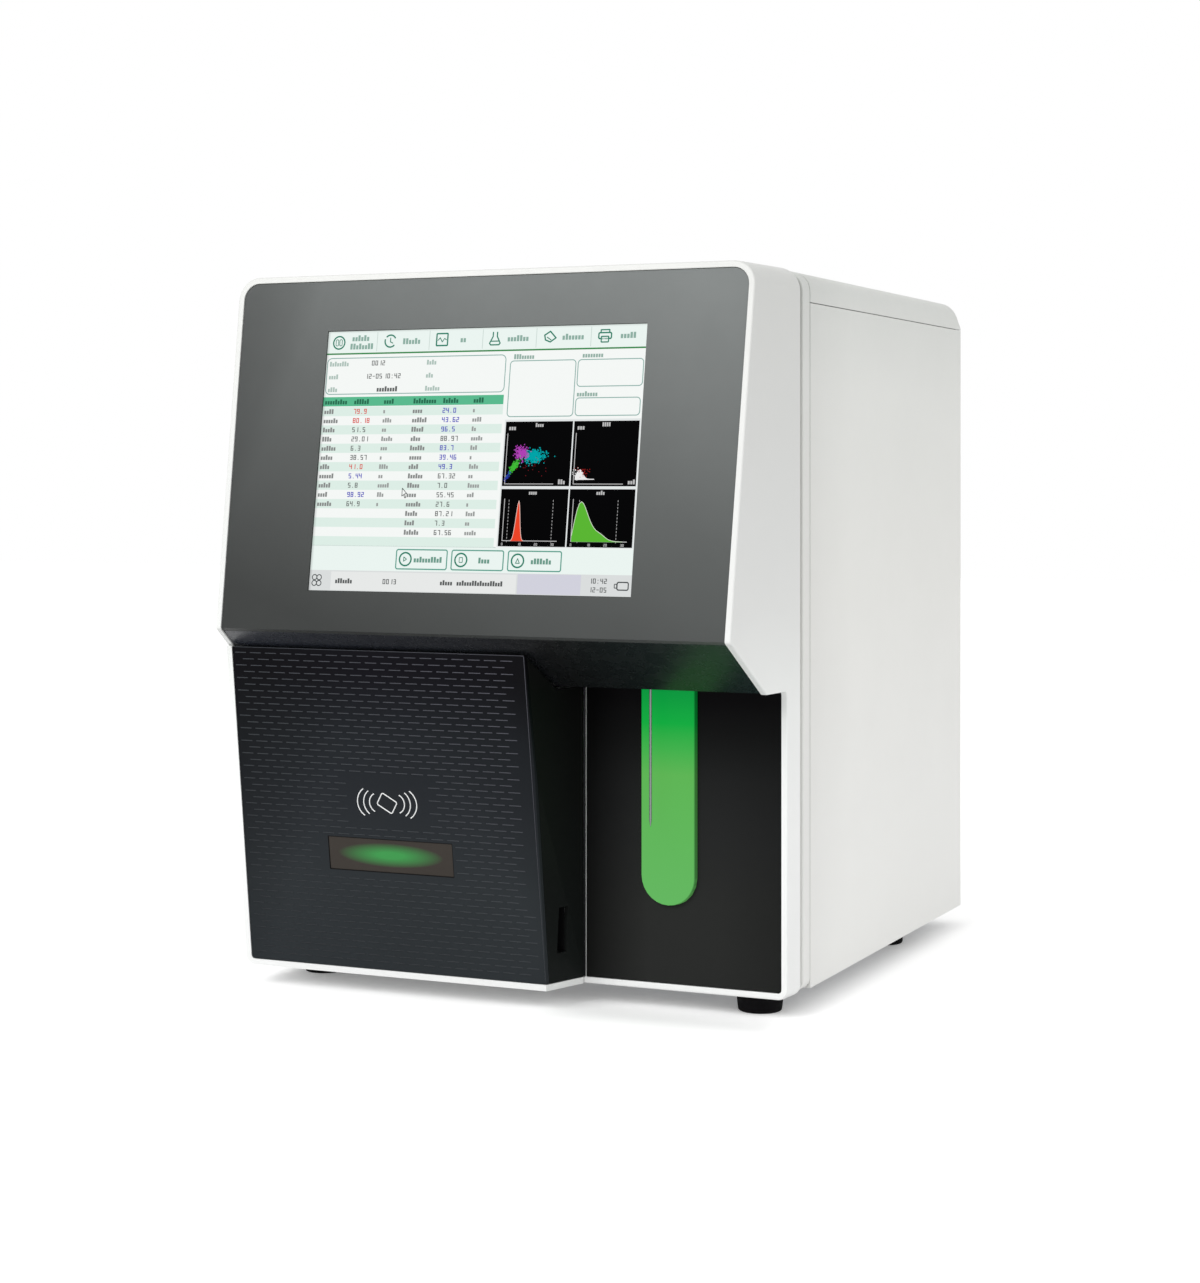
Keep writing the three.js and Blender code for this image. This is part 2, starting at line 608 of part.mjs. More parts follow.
function makeTopCover() {
  const shell = (inset) => {
    const outline = roundedRectangle(inset - BODY_HALF_WIDTH, BODY_HALF_WIDTH - inset,
      SEAM_HEIGHT + SEAM / 2 - OVERRUN, BODY_TOP - inset, SHEET, BODY_CORNER_RADIUS - inset);
    const radius = REAR_EDGE_RADIUS - inset;
    const rear = BODY_DEPTH - inset;
    const profile = [
      [CASE_FRONT - (inset ? OVERRUN : 0), 0],
      [rear, 0],
      ...arc(rear - radius, BODY_TOP - inset - radius, radius, 0, 0.25, CORNER_STEPS),
      [CASE_FRONT - (inset ? OVERRUN : 0), BODY_TOP - inset],
    ];
    return common(prism('y', outline, 0, BODY_DEPTH), sideProfile(profile));
  };
  const below = box(-WIDE, WIDE, 0, BODY_DEPTH + OVERRUN, 0, SEAM_HEIGHT + SEAM / 2);
  addPiece('top_cover', cut(shell(0), shell(SHEET), below), WARM_WHITE);
}

function makeBasePan() {
  const half = INNER_HALF_WIDTH;
  const rear = REAR_INNER - GAP;
  const block = box(-half, half, CASE_FRONT, rear, PAN_UNDERSIDE, PAN_TOP + PAN_EDGE);
  const inside = box(SHEET - half, half - SHEET, CASE_FRONT - OVERRUN, rear - SHEET,
    PAN_TOP, PAN_TOP + PAN_EDGE + OVERRUN);
  addPiece('base_pan', cut(block, inside), ZINC_STEEL);
}

function makeRearPanel() {
  const shoulder = SEAM_HEIGHT - SEAM / 2 - SHEET - GAP;
  const half = INNER_HALF_WIDTH;
  const tongue = BODY_HALF_WIDTH - FLANGE - GAP;
  const outline = [
    [-half, PAN_UNDERSIDE], [half, PAN_UNDERSIDE], [half, shoulder], [tongue, shoulder],
    [tongue, shoulder + REAR_TONGUE_HEIGHT], [-tongue, shoulder + REAR_TONGUE_HEIGHT],
    [-tongue, shoulder], [-half, shoulder],
  ];
  const opening = (x, z, width, height) =>
    rectangle(x - width / 2 - GAP, x + width / 2 + GAP, z - height / 2 - GAP, z + height / 2 + GAP);
  const holes = [
    circle(FAN_X, FAN_Z, FAN_BORE),
    opening(INLET_X, INLET_Z, INLET_WIDTH, INLET_HEIGHT),
    opening(PORTS_X, PORTS_Z, PORTS_WIDTH, PORTS_HEIGHT),
    opening(FLUID_X, FLUID_Z, FLUID_WIDTH - 2 * FLUID_NUT, FLUID_HEIGHT - FLUID_NUT),
  ];
  for (let i = 0; i < VENT_COUNT; i++) {
    holes.push(opening(VENT_X, VENT_Z + (i - (VENT_COUNT - 1) / 2) * VENT_PITCH, VENT_WIDTH, VENT_HEIGHT));
  }
  addPiece('rear_panel', prism('y', outline, REAR_INNER, REAR_FACE, holes), WARM_WHITE);
}

function makeFoot(name, side, depth, top) {
  const profile = [[0, 0], [FOOT_RADIUS - FOOT_TAPER, 0], [FOOT_RADIUS, FOOT_TAPER], [FOOT_RADIUS, top],
    [0, top]];
  const foot = turned('z', profile, side * (BODY_HALF_WIDTH - FOOT_TO_SIDE), depth, 0);
  addPiece(name, foot, RUBBER_BLACK);
}

makeFrontHousing();
makeTrimBand();
makeSidePanel('left_side_panel', -1);
makeSidePanel('right_side_panel', 1);
makeTopCover();
makeBasePan();
makeRearPanel();
makeFoot('front_left_foot', -1, FRONT_FOOT_DEPTH, BASE_HEIGHT - GAP);
makeFoot('front_right_foot', 1, FRONT_FOOT_DEPTH, BASE_HEIGHT - GAP);
makeFoot('rear_left_foot', -1, BODY_DEPTH - REAR_FOOT_TO_REAR, PAN_UNDERSIDE - GAP);
makeFoot('rear_right_foot', 1, BODY_DEPTH - REAR_FOOT_TO_REAR, PAN_UNDERSIDE - GAP);

// Screen panel, screen and chin

// Frame of the leaning screen panel: X across, then up along the panel, then out towards the user
function onPanel(geometry, depth, height, leanShare) {
  const lean = Math.atan(leanShare);
  const up = new THREE.Vector3(0, Math.sin(lean), Math.cos(lean));
  const out = new THREE.Vector3(0, -Math.cos(lean), Math.sin(lean));
  const turn = new THREE.Matrix4().makeBasis(new THREE.Vector3(1, 0, 0), up, out);
  return solidOf(geometry.applyMatrix4(turn.setPosition(0, depth, height)));
}

const onBezel = (outline, from, to) =>
  onPanel(prismGeometry('z', outline, from, to), 0, LIP_HEIGHT, BEZEL_LEAN_SHARE);

const screenOutline = (border) => rectangle(
  -SCREEN_WIDTH / 2 - border, SCREEN_WIDTH / 2 + border,
  SCREEN_RISE - border, SCREEN_RISE + SCREEN_HEIGHT + border);

function makeScreen() {
  const back = PANEL_INSET + PANEL_WALL;
  const slab = sideProfile([
    meet(bezelLine(PANEL_INSET), chinLine(PANEL_INSET)),
    meet(bezelLine(back), chinLine(PANEL_INSET)),
    meet(bezelLine(back), topLine(RIM + GAP)),
    meet(bezelLine(PANEL_INSET), topLine(RIM + GAP)),
  ]);
  const window = onBezel(screenOutline(GAP), -back - OVERRUN, OVERRUN);
  addPiece('screen_bezel', cut(common(slab, envelope(RIM + GAP)), window), BEZEL_GREY);

  const glass = onBezel(screenOutline(0), -back - GAP - SHEET, -GLASS_INSET - PANEL_INSET);
  const module = onBezel(screenOutline(MODULE_BORDER), -back - GAP - MODULE_DEPTH, -back - GAP);
  addPiece('touch_screen', join(module, glass), SCREEN_GLASS);
}

function makeChinPanel() {
  const front = bezelLine(PANEL_INSET + PANEL_WALL + GAP);
  const outer = PANEL_INSET;
  const inner = PANEL_INSET + PANEL_WALL;
  const sheet = sideProfile([
    meet(front, chinLine(outer)),
    meet(chinLine(outer), ceilingLine(outer)),
    [PANEL_BACK, CEILING_UNDERSIDE],
    [PANEL_BACK, CEILING_TOP],
    meet(chinLine(inner), ceilingLine(inner)),
    meet(front, chinLine(inner)),
  ]);
  const probeHole = rod('z', PROBE_X, PROBE_DEPTH, PROBE_HOLE_RADIUS,
    CEILING_UNDERSIDE - OVERRUN, CEILING_TOP + OVERRUN);
  addPiece('chin_panel', cut(common(sheet, envelope(RIM + GAP)), probeHole), GLOSS_BLACK);
}

makeScreen();
makeChinPanel();

// Sample panel and start key

function keyOutline(border, top) {
  const radius = KEY_WIDTH / 2 + border;
  const centre = KEY_BOTTOM + KEY_WIDTH / 2;
  return [
    ...arc(KEY_X, centre, radius, 0.5, 1, ROUND_SIDES / 2),
    [KEY_X + radius, top],
    [KEY_X - radius, top],
  ];
}

const KEY_TOP = CEILING_UNDERSIDE - 2 * GAP;
const KEY_FRONT = PANEL_FACE - KEY_PROUD;
const KEY_FLANGE_FRONT = PANEL_BACK + KEY_CLEARANCE;
const KEY_FLANGE_REAR = KEY_FLANGE_FRONT + KEY_FLANGE_WALL;

function makeSampleStation() {
  const panel = common(
    box(POST_RIGHT + GAP, WIDE, PANEL_FACE, PANEL_BACK, 0, CEILING_UNDERSIDE - GAP),
    envelope(RIM + GAP));
  const aperture = prism('y', keyOutline(KEY_CLEARANCE, CEILING_UNDERSIDE + OVERRUN),
    PANEL_FACE - OVERRUN, PANEL_BACK + OVERRUN);
  addPiece('sample_panel', cut(panel, aperture), PANEL_BLACK);

  const plate = prism('y', keyOutline(0, KEY_TOP), KEY_FRONT, KEY_FLANGE_REAR);
  const flange = prism('y', keyOutline(KEY_FLANGE, KEY_TOP), KEY_FLANGE_FRONT, KEY_FLANGE_REAR);
  addPiece('start_key', join(plate, flange), KEY_GREEN);

  const switchFront = KEY_FLANGE_REAR + KEY_TRAVEL + GAP;
  const carrierFront = switchFront + SWITCH_DEPTH;
  const carrierRear = carrierFront + CARRIER_WALL;
  const inside = KEY_WIDTH / 2 + KEY_FLANGE + CARRIER_SIDE_GAP;
  const outside = inside + CARRIER_WALL;
  const middle = (KEY_BOTTOM + KEY_TOP) / 2;
  const bottom = middle - CARRIER_HEIGHT / 2;
  const top = middle + CARRIER_HEIGHT / 2;
  const channel = cut(
    box(KEY_X - outside, KEY_X + outside, PANEL_BACK + GAP, carrierRear, bottom, top),
    box(KEY_X - inside, KEY_X + inside, PANEL_BACK - OVERRUN, carrierFront, bottom - OVERRUN,
      top + OVERRUN));
  const sensor = box(KEY_X - SWITCH_SIZE / 2, KEY_X + SWITCH_SIZE / 2, switchFront, carrierFront + GAP,
    middle - SWITCH_SIZE / 2, middle + SWITCH_SIZE / 2);
  addPiece('key_switch', join(channel, sensor), ENGINE_BLACK);
}

makeSampleStation();

// Probe and its lift

function makeProbeLift() {
  const rodXs = [ROD_MIDDLE - ROD_SPAN / 2, ROD_MIDDLE + ROD_SPAN / 2];
  const plateFront = LIFT_PLATE;
  const plateRear = LIFT_PLATE + LIFT_WALL;
  const left = ROD_MIDDLE - ROD_SPAN / 2 - LIFT_EAR - LIFT_WALL;
  const right = BELT_X + MOTOR_SIZE / 2 + GAP + LIFT_WALL;
  const earRight = ROD_MIDDLE + ROD_SPAN / 2 + ROD_RADIUS + CARRIAGE_MARGIN / 2;
  const earFront = ROD_DEPTH - LIFT_EAR;
  const rodBottom = LIFT_BOTTOM + LIFT_WALL + GAP;
  const rodTop = LIFT_TOP - GAP;
  const beltBottom = CARRIAGE_BOTTOM;
  const beltTop = LIFT_TOP - PULLEY_RADIUS;

  const plate = box(left, right, plateFront, plateRear, LIFT_BOTTOM, LIFT_TOP + LIFT_WALL);
  const lowerEar = box(left, earRight, earFront, plateRear, LIFT_BOTTOM, LIFT_BOTTOM + LIFT_WALL);
  const upperEar = box(left, earRight, earFront, plateRear, LIFT_TOP, LIFT_TOP + LIFT_WALL);
  const leftFlange = box(left, left + LIFT_WALL, plateFront, SEAT_ON_BULKHEAD,
    LIFT_BOTTOM, LIFT_TOP + LIFT_WALL);
  const rightFlange = box(right - LIFT_WALL, right, plateFront, SEAT_ON_BULKHEAD,
    LIFT_BOTTOM, LIFT_TOP + LIFT_WALL);
  const shaftHoles = [beltBottom, beltTop].map((height) =>
    rod('y', BELT_X, height, SHAFT_RADIUS + GAP, plateFront - OVERRUN, plateRear + OVERRUN));
  addPiece('lift_bracket',
    cut(join(plate, lowerEar, upperEar, leftFlange, rightFlange), ...shaftHoles), ANODISED);

  ['left', 'right'].forEach((side, i) => {
    const guide = rod('z', rodXs[i], ROD_DEPTH, ROD_RADIUS, rodBottom, rodTop);
    addPiece(`${side}_guide_rod`, guide, BARE_STEEL);
  });

  const motorFront = plateRear + GAP;
  const motor = cut(
    box(BELT_X - MOTOR_SIZE / 2, BELT_X + MOTOR_SIZE / 2, motorFront, motorFront + MOTOR_LENGTH,
      beltBottom - MOTOR_SIZE / 2, beltBottom + MOTOR_SIZE / 2),
    rod('y', BELT_X, beltBottom, SHAFT_RADIUS + GAP, motorFront - OVERRUN,
      motorFront + SHAFT_ENGAGEMENT + GAP));
  addPiece('lift_motor', motor, ENGINE_BLACK);

  const pulleyRear = plateFront - GAP;
  const pulleyFront = pulleyRear - PULLEY_WIDTH;
  const pulley = (height, shaftEnd) => join(
    rod('y', BELT_X, height, PULLEY_RADIUS, pulleyFront, pulleyRear, ROUND_SIDES),
    rod('y', BELT_X, height, SHAFT_RADIUS, pulleyFront, shaftEnd));
  addPiece('drive_pulley', pulley(beltBottom, motorFront + SHAFT_ENGAGEMENT), ANODISED);
  addPiece('idler_pulley', pulley(beltTop, plateRear - GAP), ANODISED);

  const loop = (radius) => [
    ...arc(BELT_X, beltTop, radius, 0, 0.5, ROUND_SIDES / 2),
    ...arc(BELT_X, beltBottom, radius, 0.5, 1, ROUND_SIDES / 2),
  ];
  const beltFront = (pulleyFront + pulleyRear - BELT_WIDTH) / 2;
  const beltInner = PULLEY_RADIUS + GAP;
  const beltOuter = beltInner + BELT_WALL;
  addPiece('lift_belt', prism('y', loop(beltOuter), beltFront, beltFront + BELT_WIDTH, [loop(beltInner)]),
    RUBBER_BLACK);

  const clampEnd = BELT_X - beltOuter - GAP;
  const block = box(rodXs[0] - ROD_RADIUS - CARRIAGE_MARGIN, clampEnd, earFront, plateFront - GAP,
    CARRIAGE_BOTTOM, CARRIAGE_TOP);
  const armMiddle = (CARRIAGE_BOTTOM + CARRIAGE_TOP) / 2;
  const arm = box(PROBE_X - WASH_SIZE / 2, PROBE_X + WASH_SIZE / 2,
    PROBE_DEPTH - WASH_SIZE / 2, earFront + OVERRUN,
    armMiddle - ARM_HEIGHT / 2, armMiddle + ARM_HEIGHT / 2);
  const rodHoles = rodXs.map((x) =>
    rod('z', x, ROD_DEPTH, ROD_RADIUS + GAP, CARRIAGE_BOTTOM - OVERRUN, CARRIAGE_TOP + OVERRUN));
  const probeHole = rod('z', PROBE_X, PROBE_DEPTH, PROBE_RADIUS + GAP,
    CARRIAGE_BOTTOM - OVERRUN, CARRIAGE_TOP + OVERRUN);
  addPiece('probe_carriage', cut(join(block, arm), ...rodHoles, probeHole), ENGINE_BLACK);

  const probeTop = armMiddle + ARM_HEIGHT / 2 + PROBE_TAIL;
  const needle = rod('z', PROBE_X, PROBE_DEPTH, PROBE_RADIUS, PROBE_TIP_HEIGHT, probeTop);
  addPiece('sample_probe', needle, BARE_STEEL);

  const wash = cut(
    box(PROBE_X - WASH_SIZE / 2, PROBE_X + WASH_SIZE / 2, PROBE_DEPTH - WASH_SIZE / 2,
      PROBE_DEPTH + WASH_SIZE / 2, CEILING_TOP + GAP, WASH_TOP),
    rod('z', PROBE_X, PROBE_DEPTH, 2 * PROBE_RADIUS, CEILING_TOP - OVERRUN, WASH_TOP + OVERRUN));
  addPiece('probe_wash_block', wash, CLEAR_PLASTIC);
}

makeProbeLift();

// Door: a white shell that carries the dark front, the angled side, the lamp and the card reader

// Everything to the left of the door's slanted right side, drawn in by `inset`
function leftOfDoorSide(inset) {
  const section = (height, frontRight) => {
    const [front] = meet(doorLine(0), levelLine(height));
    const slope = (DOOR_RIGHT_REAR - frontRight) / (DOOR_BACK - front);
    const at = (depth) => frontRight + slope * (depth - front) - inset;
    const rear = BAY_DEPTH + OVERRUN;
    return [[-WIDE, -OVERRUN], [at(-OVERRUN), -OVERRUN], [at(rear), rear], [-WIDE, rear]];
  };
  return loft('z', section(0, DOOR_RIGHT_BOTTOM), section(LIP_HEIGHT, DOOR_RIGHT_TOP), 0, LIP_HEIGHT);
}

// Door volume behind its front plane drawn in by `front`, and below its top drawn in by `top`
function doorVolume(front, top, rear) {
  const roof = -DOOR_CLEARANCE - top;
  return sideProfile([
    meet(doorLine(front), baseLine(-OVERRUN)),
    meet(uprightLine(rear), baseLine(-OVERRUN)),
    meet(uprightLine(rear), ceilingLine(roof)),
    meet(chinLine(roof), ceilingLine(roof)),
    meet(doorLine(front), chinLine(roof)),
  ]);
}

const HINGE = { x: HINGE_X, depth: HINGE_DEPTH, top: SHOULDER_HEIGHT - DOOR_CLEARANCE };

// Flat piece on the door's front plane, `from` and `to` measured outwards from that plane
const onDoor = (outline, from, to) =>
  onPanel(prismGeometry('z', outline, from, to), DOOR_TOP_DEPTH, DOOR_TOP_HEIGHT, -DOOR_LEAN_SHARE);

// Outline on the door's front plane, centred at a height above the table
function doorOutline(x, height, width, tall) {
  const lean = Math.atan(DOOR_LEAN_SHARE);
  const along = (height - DOOR_TOP_HEIGHT) / Math.cos(lean);
  return rectangle(x - width / 2, x + width / 2, along - tall / 2, along + tall / 2);
}

function makeDoor() {
  const skinBack = SKIN_INSET + SKIN;
  const wallFront = skinBack + GAP;
  const wallBack = wallFront + DOOR_WALL;
  const full = common(doorVolume(0, 0, DOOR_BACK), envelope(0), leftOfDoorSide(0));

  const skinPocket = cut(envelope(RIM), doorVolume(wallFront, -OVERRUN, BAY_DEPTH + OVERRUN));
  const sidePocket = cut(envelope(RIM), leftOfDoorSide(SIDE_SKIN + GAP));
  const hollow = common(doorVolume(wallBack, DOOR_WALL, DOOR_BACK + OVERRUN), envelope(RIM),
    leftOfDoorSide(SIDE_SKIN + GAP + DOOR_WALL));
  const cornerClear = box(-WIDE, HINGE.x + KNUCKLE_RADIUS, HINGE.depth, DOOR_BACK + OVERRUN,
    0, LIP_HEIGHT);
  const knuckle = rod('z', HINGE.x, HINGE.depth, KNUCKLE_RADIUS, BASE_HEIGHT, HINGE.top, ROUND_SIDES);
  const pinBore = rod('z', HINGE.x, HINGE.depth, PIN_RADIUS + GAP, BASE_HEIGHT + PIN_INSET - GAP,
    LIP_HEIGHT);
  const notches = EAR_HEIGHTS.map((height) => box(-WIDE, HINGE.x + KNUCKLE_RADIUS + EAR_CLEARANCE,
    HINGE.depth - EAR_RADIUS - EAR_CLEARANCE - KNUCKLE_CLEARANCE, DOOR_BACK + OVERRUN,
    height - EAR_THICKNESS / 2 - EAR_CLEARANCE, height + EAR_THICKNESS / 2 + EAR_CLEARANCE));
  const fingerSlot = (width) => box(0, width, SLOT_DEPTH_START, SLOT_DEPTH_START + SLOT_LENGTH,
    SLOT_BOTTOM, SLOT_BOTTOM + SLOT_HEIGHT);
  const lampHole = onDoor(doorOutline(WINDOW_X, WINDOW_Z, LAMP_WIDTH + 2 * GAP, LAMP_HEIGHT + 2 * GAP),
    -wallBack - OVERRUN, 0);
  const shell = cut(join(cut(full, skinPocket, sidePocket, hollow, cornerClear), knuckle),
    pinBore, ...notches, fingerSlot(WIDE), lampHole);
  addPiece('door_shell', shell, WHITE_PLASTIC);

  const inRim = common(full, envelope(RIM + GAP));
  const windowHole = onDoor(
    doorOutline(WINDOW_X, WINDOW_Z, WINDOW_WIDTH + 2 * GAP, WINDOW_HEIGHT + 2 * GAP),
    -wallFront, OVERRUN);
  const frontSlab = cut(common(inRim, doorVolume(SKIN_INSET, 0, DOOR_BACK)),
    doorVolume(skinBack, -OVERRUN, BAY_DEPTH + OVERRUN), windowHole);
  addPiece('door_front', frontSlab, DOOR_BLACK);

  const sideSlab = cut(common(inRim, doorVolume(wallFront, 0, DOOR_BACK)), leftOfDoorSide(SIDE_SKIN),
    fingerSlot(WIDE));
  addPiece('door_side', sideSlab, PANEL_BLACK);

  addPiece('status_window', onDoor(doorOutline(WINDOW_X, WINDOW_Z, WINDOW_WIDTH, WINDOW_HEIGHT),
    -skinBack, -SKIN_INSET - GAP), SMOKED_BROWN);
  addPiece('status_lamp', onDoor(doorOutline(WINDOW_X, WINDOW_Z, LAMP_WIDTH, LAMP_HEIGHT),
    -wallFront - LAMP_DEPTH, -wallFront), KEY_GREEN);
  addPiece('card_reader_board', onDoor(doorOutline(WINDOW_X, READER_Z, READER_WIDTH, READER_HEIGHT),
    -wallBack - GAP - READER_THICKNESS, -wallBack - GAP), BOARD_GREEN);

  addPiece('door_hinge_pin', rod('z', HINGE.x, HINGE.depth, PIN_RADIUS, BASE_HEIGHT + PIN_INSET,
    HINGE.top - PIN_INSET), BARE_STEEL);
}

function makeHingeBracket() {
  const wall = halfWidthAt(LINER_FRONT) - RIM;
  const left = GAP - wall;
  const right = left + SHEET;
  const front = LINER_FRONT;
  const rear = TONGUE_FRONT - GAP;
  const bottom = EAR_HEIGHTS[0] - BRACKET_MARGIN;
  const top = EAR_HEIGHTS[1] + BRACKET_MARGIN;
  const strip = box(left, right, front, rear, bottom, top);
  const ears = EAR_HEIGHTS.map((height) => {
    const low = height - EAR_THICKNESS / 2;
    const high = height + EAR_THICKNESS / 2;
    const eye = rod('z', HINGE.x, HINGE.depth, EAR_RADIUS, low, high, ROUND_SIDES);
    const arm = box(left, HINGE.x + EAR_RADIUS, HINGE.depth, rear, low, high);
    const bore = rod('z', HINGE.x, HINGE.depth, PIN_RADIUS + GAP, low - OVERRUN, high + OVERRUN);
    return { solid: join(eye, arm), bore };
  });
  addPiece('hinge_bracket',
    cut(join(strip, ...ears.map((ear) => ear.solid)), ...ears.map((ear) => ear.bore)), ZINC_STEEL);
}

makeDoor();
makeHingeBracket();

// Reagent compartment behind the door

function makeReagentBay() {
  const bottom = BODY_BOTTOM + BODY_HALF_WIDTH - halfWidthAt(HOUSING_DEPTH) + RIM + TONGUE_WALL + 2 * GAP;
  const top = bottom + LINER_HEIGHT;
  const rear = SEAT_ON_BULKHEAD;
  const liner = cut(
    box(LINER_LEFT, LINER_RIGHT, LINER_FRONT, rear, bottom, top),
    box(LINER_LEFT + LINER_WALL, LINER_RIGHT - LINER_WALL, LINER_FRONT - OVERRUN, rear - LINER_WALL,
      bottom + LINER_WALL, top - LINER_WALL));
  addPiece('reagent_compartment', liner, INNER_GREY);

  const magnetRear = LINER_FRONT - GAP;
  const doorRib = LINER_RIGHT - LINER_WALL;
  addPiece('door_catch_magnet', box(doorRib - MAGNET_WIDTH, doorRib, DOOR_BACK + GAP, magnetRear,
    MAGNET_Z - MAGNET_HEIGHT / 2, MAGNET_Z + MAGNET_HEIGHT / 2), ENGINE_BLACK);

  const floor = bottom + LINER_WALL + GAP;
  const middle = (LINER_LEFT + LINER_RIGHT) / 2;
  const depth = rear - LINER_WALL - GAP - BOTTLE_DEPTH / 2;
  const room = LINER_RIGHT - LINER_LEFT - 2 * (LINER_WALL + BOTTLE_SIDE_GAP);
  const width = (room - BOTTLE_MIDDLE_GAP) / 2;
  ['left', 'right'].forEach((side, i) => {
    const x = middle + (i - 0.5) * (width + BOTTLE_MIDDLE_GAP);
    const section = (inset) => roundedRectangle(
      x - width / 2 + inset, x + width / 2 - inset,
      depth - BOTTLE_DEPTH / 2 + inset, depth + BOTTLE_DEPTH / 2 - inset,
      BOTTLE_CORNER - inset / 2, BOTTLE_CORNER - inset / 2);
    const shoulder = floor + BOTTLE_HEIGHT;
    const neckBase = shoulder + SHOULDER_RISE;
    const body = join(
      prism('z', section(0), floor, shoulder),
      loft('z', section(0), section(BOTTLE_CORNER), shoulder, neckBase),
      rod('z', x, depth, NECK_RADIUS, shoulder, neckBase + NECK_HEIGHT, ROUND_SIDES));
    addPiece(`${side}_reagent_bottle`, body, BOTTLE_WHITE);
    const capBottom = neckBase + GAP;
    const cap = cut(
      rod('z', x, depth, NECK_RADIUS + GAP + CAP_WALL, capBottom, capBottom + CAP_HEIGHT, ROUND_SIDES),
      rod('z', x, depth, NECK_RADIUS + GAP, capBottom - OVERRUN, neckBase + NECK_HEIGHT + GAP,
        ROUND_SIDES));
    addPiece(`${side}_bottle_cap`, cap, CAP_BLUE);
  });
}

makeReagentBay();

// Inner plate and the modules in front of it

function makeBulkhead() {
  const half = INNER_HALF_WIDTH - SHEET - GAP;
  const bottom = PAN_TOP + GAP;
  const cableHole = rectangle(BOARD_X - CABLE_HOLE_WIDTH / 2, BOARD_X + CABLE_HOLE_WIDTH / 2,
    BOARD_Z + BOARD_HEIGHT, BOARD_Z + BOARD_HEIGHT + CABLE_HOLE_HEIGHT);
  const plate = prism('y', rectangle(-half, half, bottom, BULKHEAD_TOP), BULKHEAD_FRONT, BULKHEAD_REAR,
    [cableHole]);
  const foot = box(-half, half, BULKHEAD_FRONT, BULKHEAD_REAR + FLANGE, bottom, bottom + SHEET);
  addPiece('bulkhead', join(plate, foot), ZINC_STEEL);
}

function makeReactionBath() {
  const bottom = BATH_RISE;
  const top = bottom + BATH_HEIGHT;
  const rear = SEAT_ON_BULKHEAD;
  const block = box(BATH_X - BATH_WIDTH / 2, BATH_X + BATH_WIDTH / 2, rear - BATH_DEPTH, rear, bottom, top);
  const wells = [-1, 1].map((side) => rod('z', BATH_X + (side * WELL_SPACING) / 2, rear - BATH_DEPTH / 2,
    WELL_RADIUS, top - WELL_DEPTH, top + OVERRUN, ROUND_SIDES));
  addPiece('reaction_bath', cut(block, ...wells), CLEAR_PLASTIC);
}

function makePump() {
  const rear = SEAT_ON_BULKHEAD;
  const front = rear - PUMP_MOTOR_LENGTH - PUMP_BACK - PUMP_WIDTH;
  const back = front + PUMP_WIDTH;
  const housing = rod('y', PUMP_X, PUMP_RISE, PUMP_RADIUS, front, back + PUMP_BACK, ROUND_SIDES);
  const bore = rod('y', PUMP_X, PUMP_RISE, PUMP_BORE, front - OVERRUN, back, ROUND_SIDES);
  const motor = rod('y', PUMP_X, PUMP_RISE, PUMP_MOTOR_RADIUS, back, rear, ROUND_SIDES);
  const shaftBore = rod('y', PUMP_X, PUMP_RISE, ROTOR_SHAFT + GAP, front,
    back + PUMP_BACK + SHAFT_ENGAGEMENT);
  addPiece('pump_head', cut(join(cut(housing, bore), motor), shaftBore), ENGINE_BLACK);

  const rotorRear = back - GAP;
  const rotorFront = front + GAP;
  const hub = rod('y', PUMP_X, PUMP_RISE, ROTOR_HUB, rotorFront, rotorRear);
  const shaft = rod('y', PUMP_X, PUMP_RISE, ROTOR_SHAFT, rotorFront,
    back + PUMP_BACK + SHAFT_ENGAGEMENT - GAP);
  const arms = [];
  for (let i = 0; i < ROLLER_COUNT; i++) {
    const arm = prismGeometry('y', [
      ...arc(0, ROLLER_REACH - ROLLER_WIDTH / 2, ROLLER_WIDTH / 2, 0, 0.5, SMALL_SIDES / 2),
      [-ROLLER_WIDTH / 2, 0], [ROLLER_WIDTH / 2, 0],
    ], rotorFront, rotorRear);
    arms.push(solidOf(arm.rotateY((i * 2 * Math.PI) / ROLLER_COUNT).translate(PUMP_X, 0, PUMP_RISE)));
  }
  addPiece('pump_rotor', join(hub, shaft, ...arms), INNER_GREY);
}

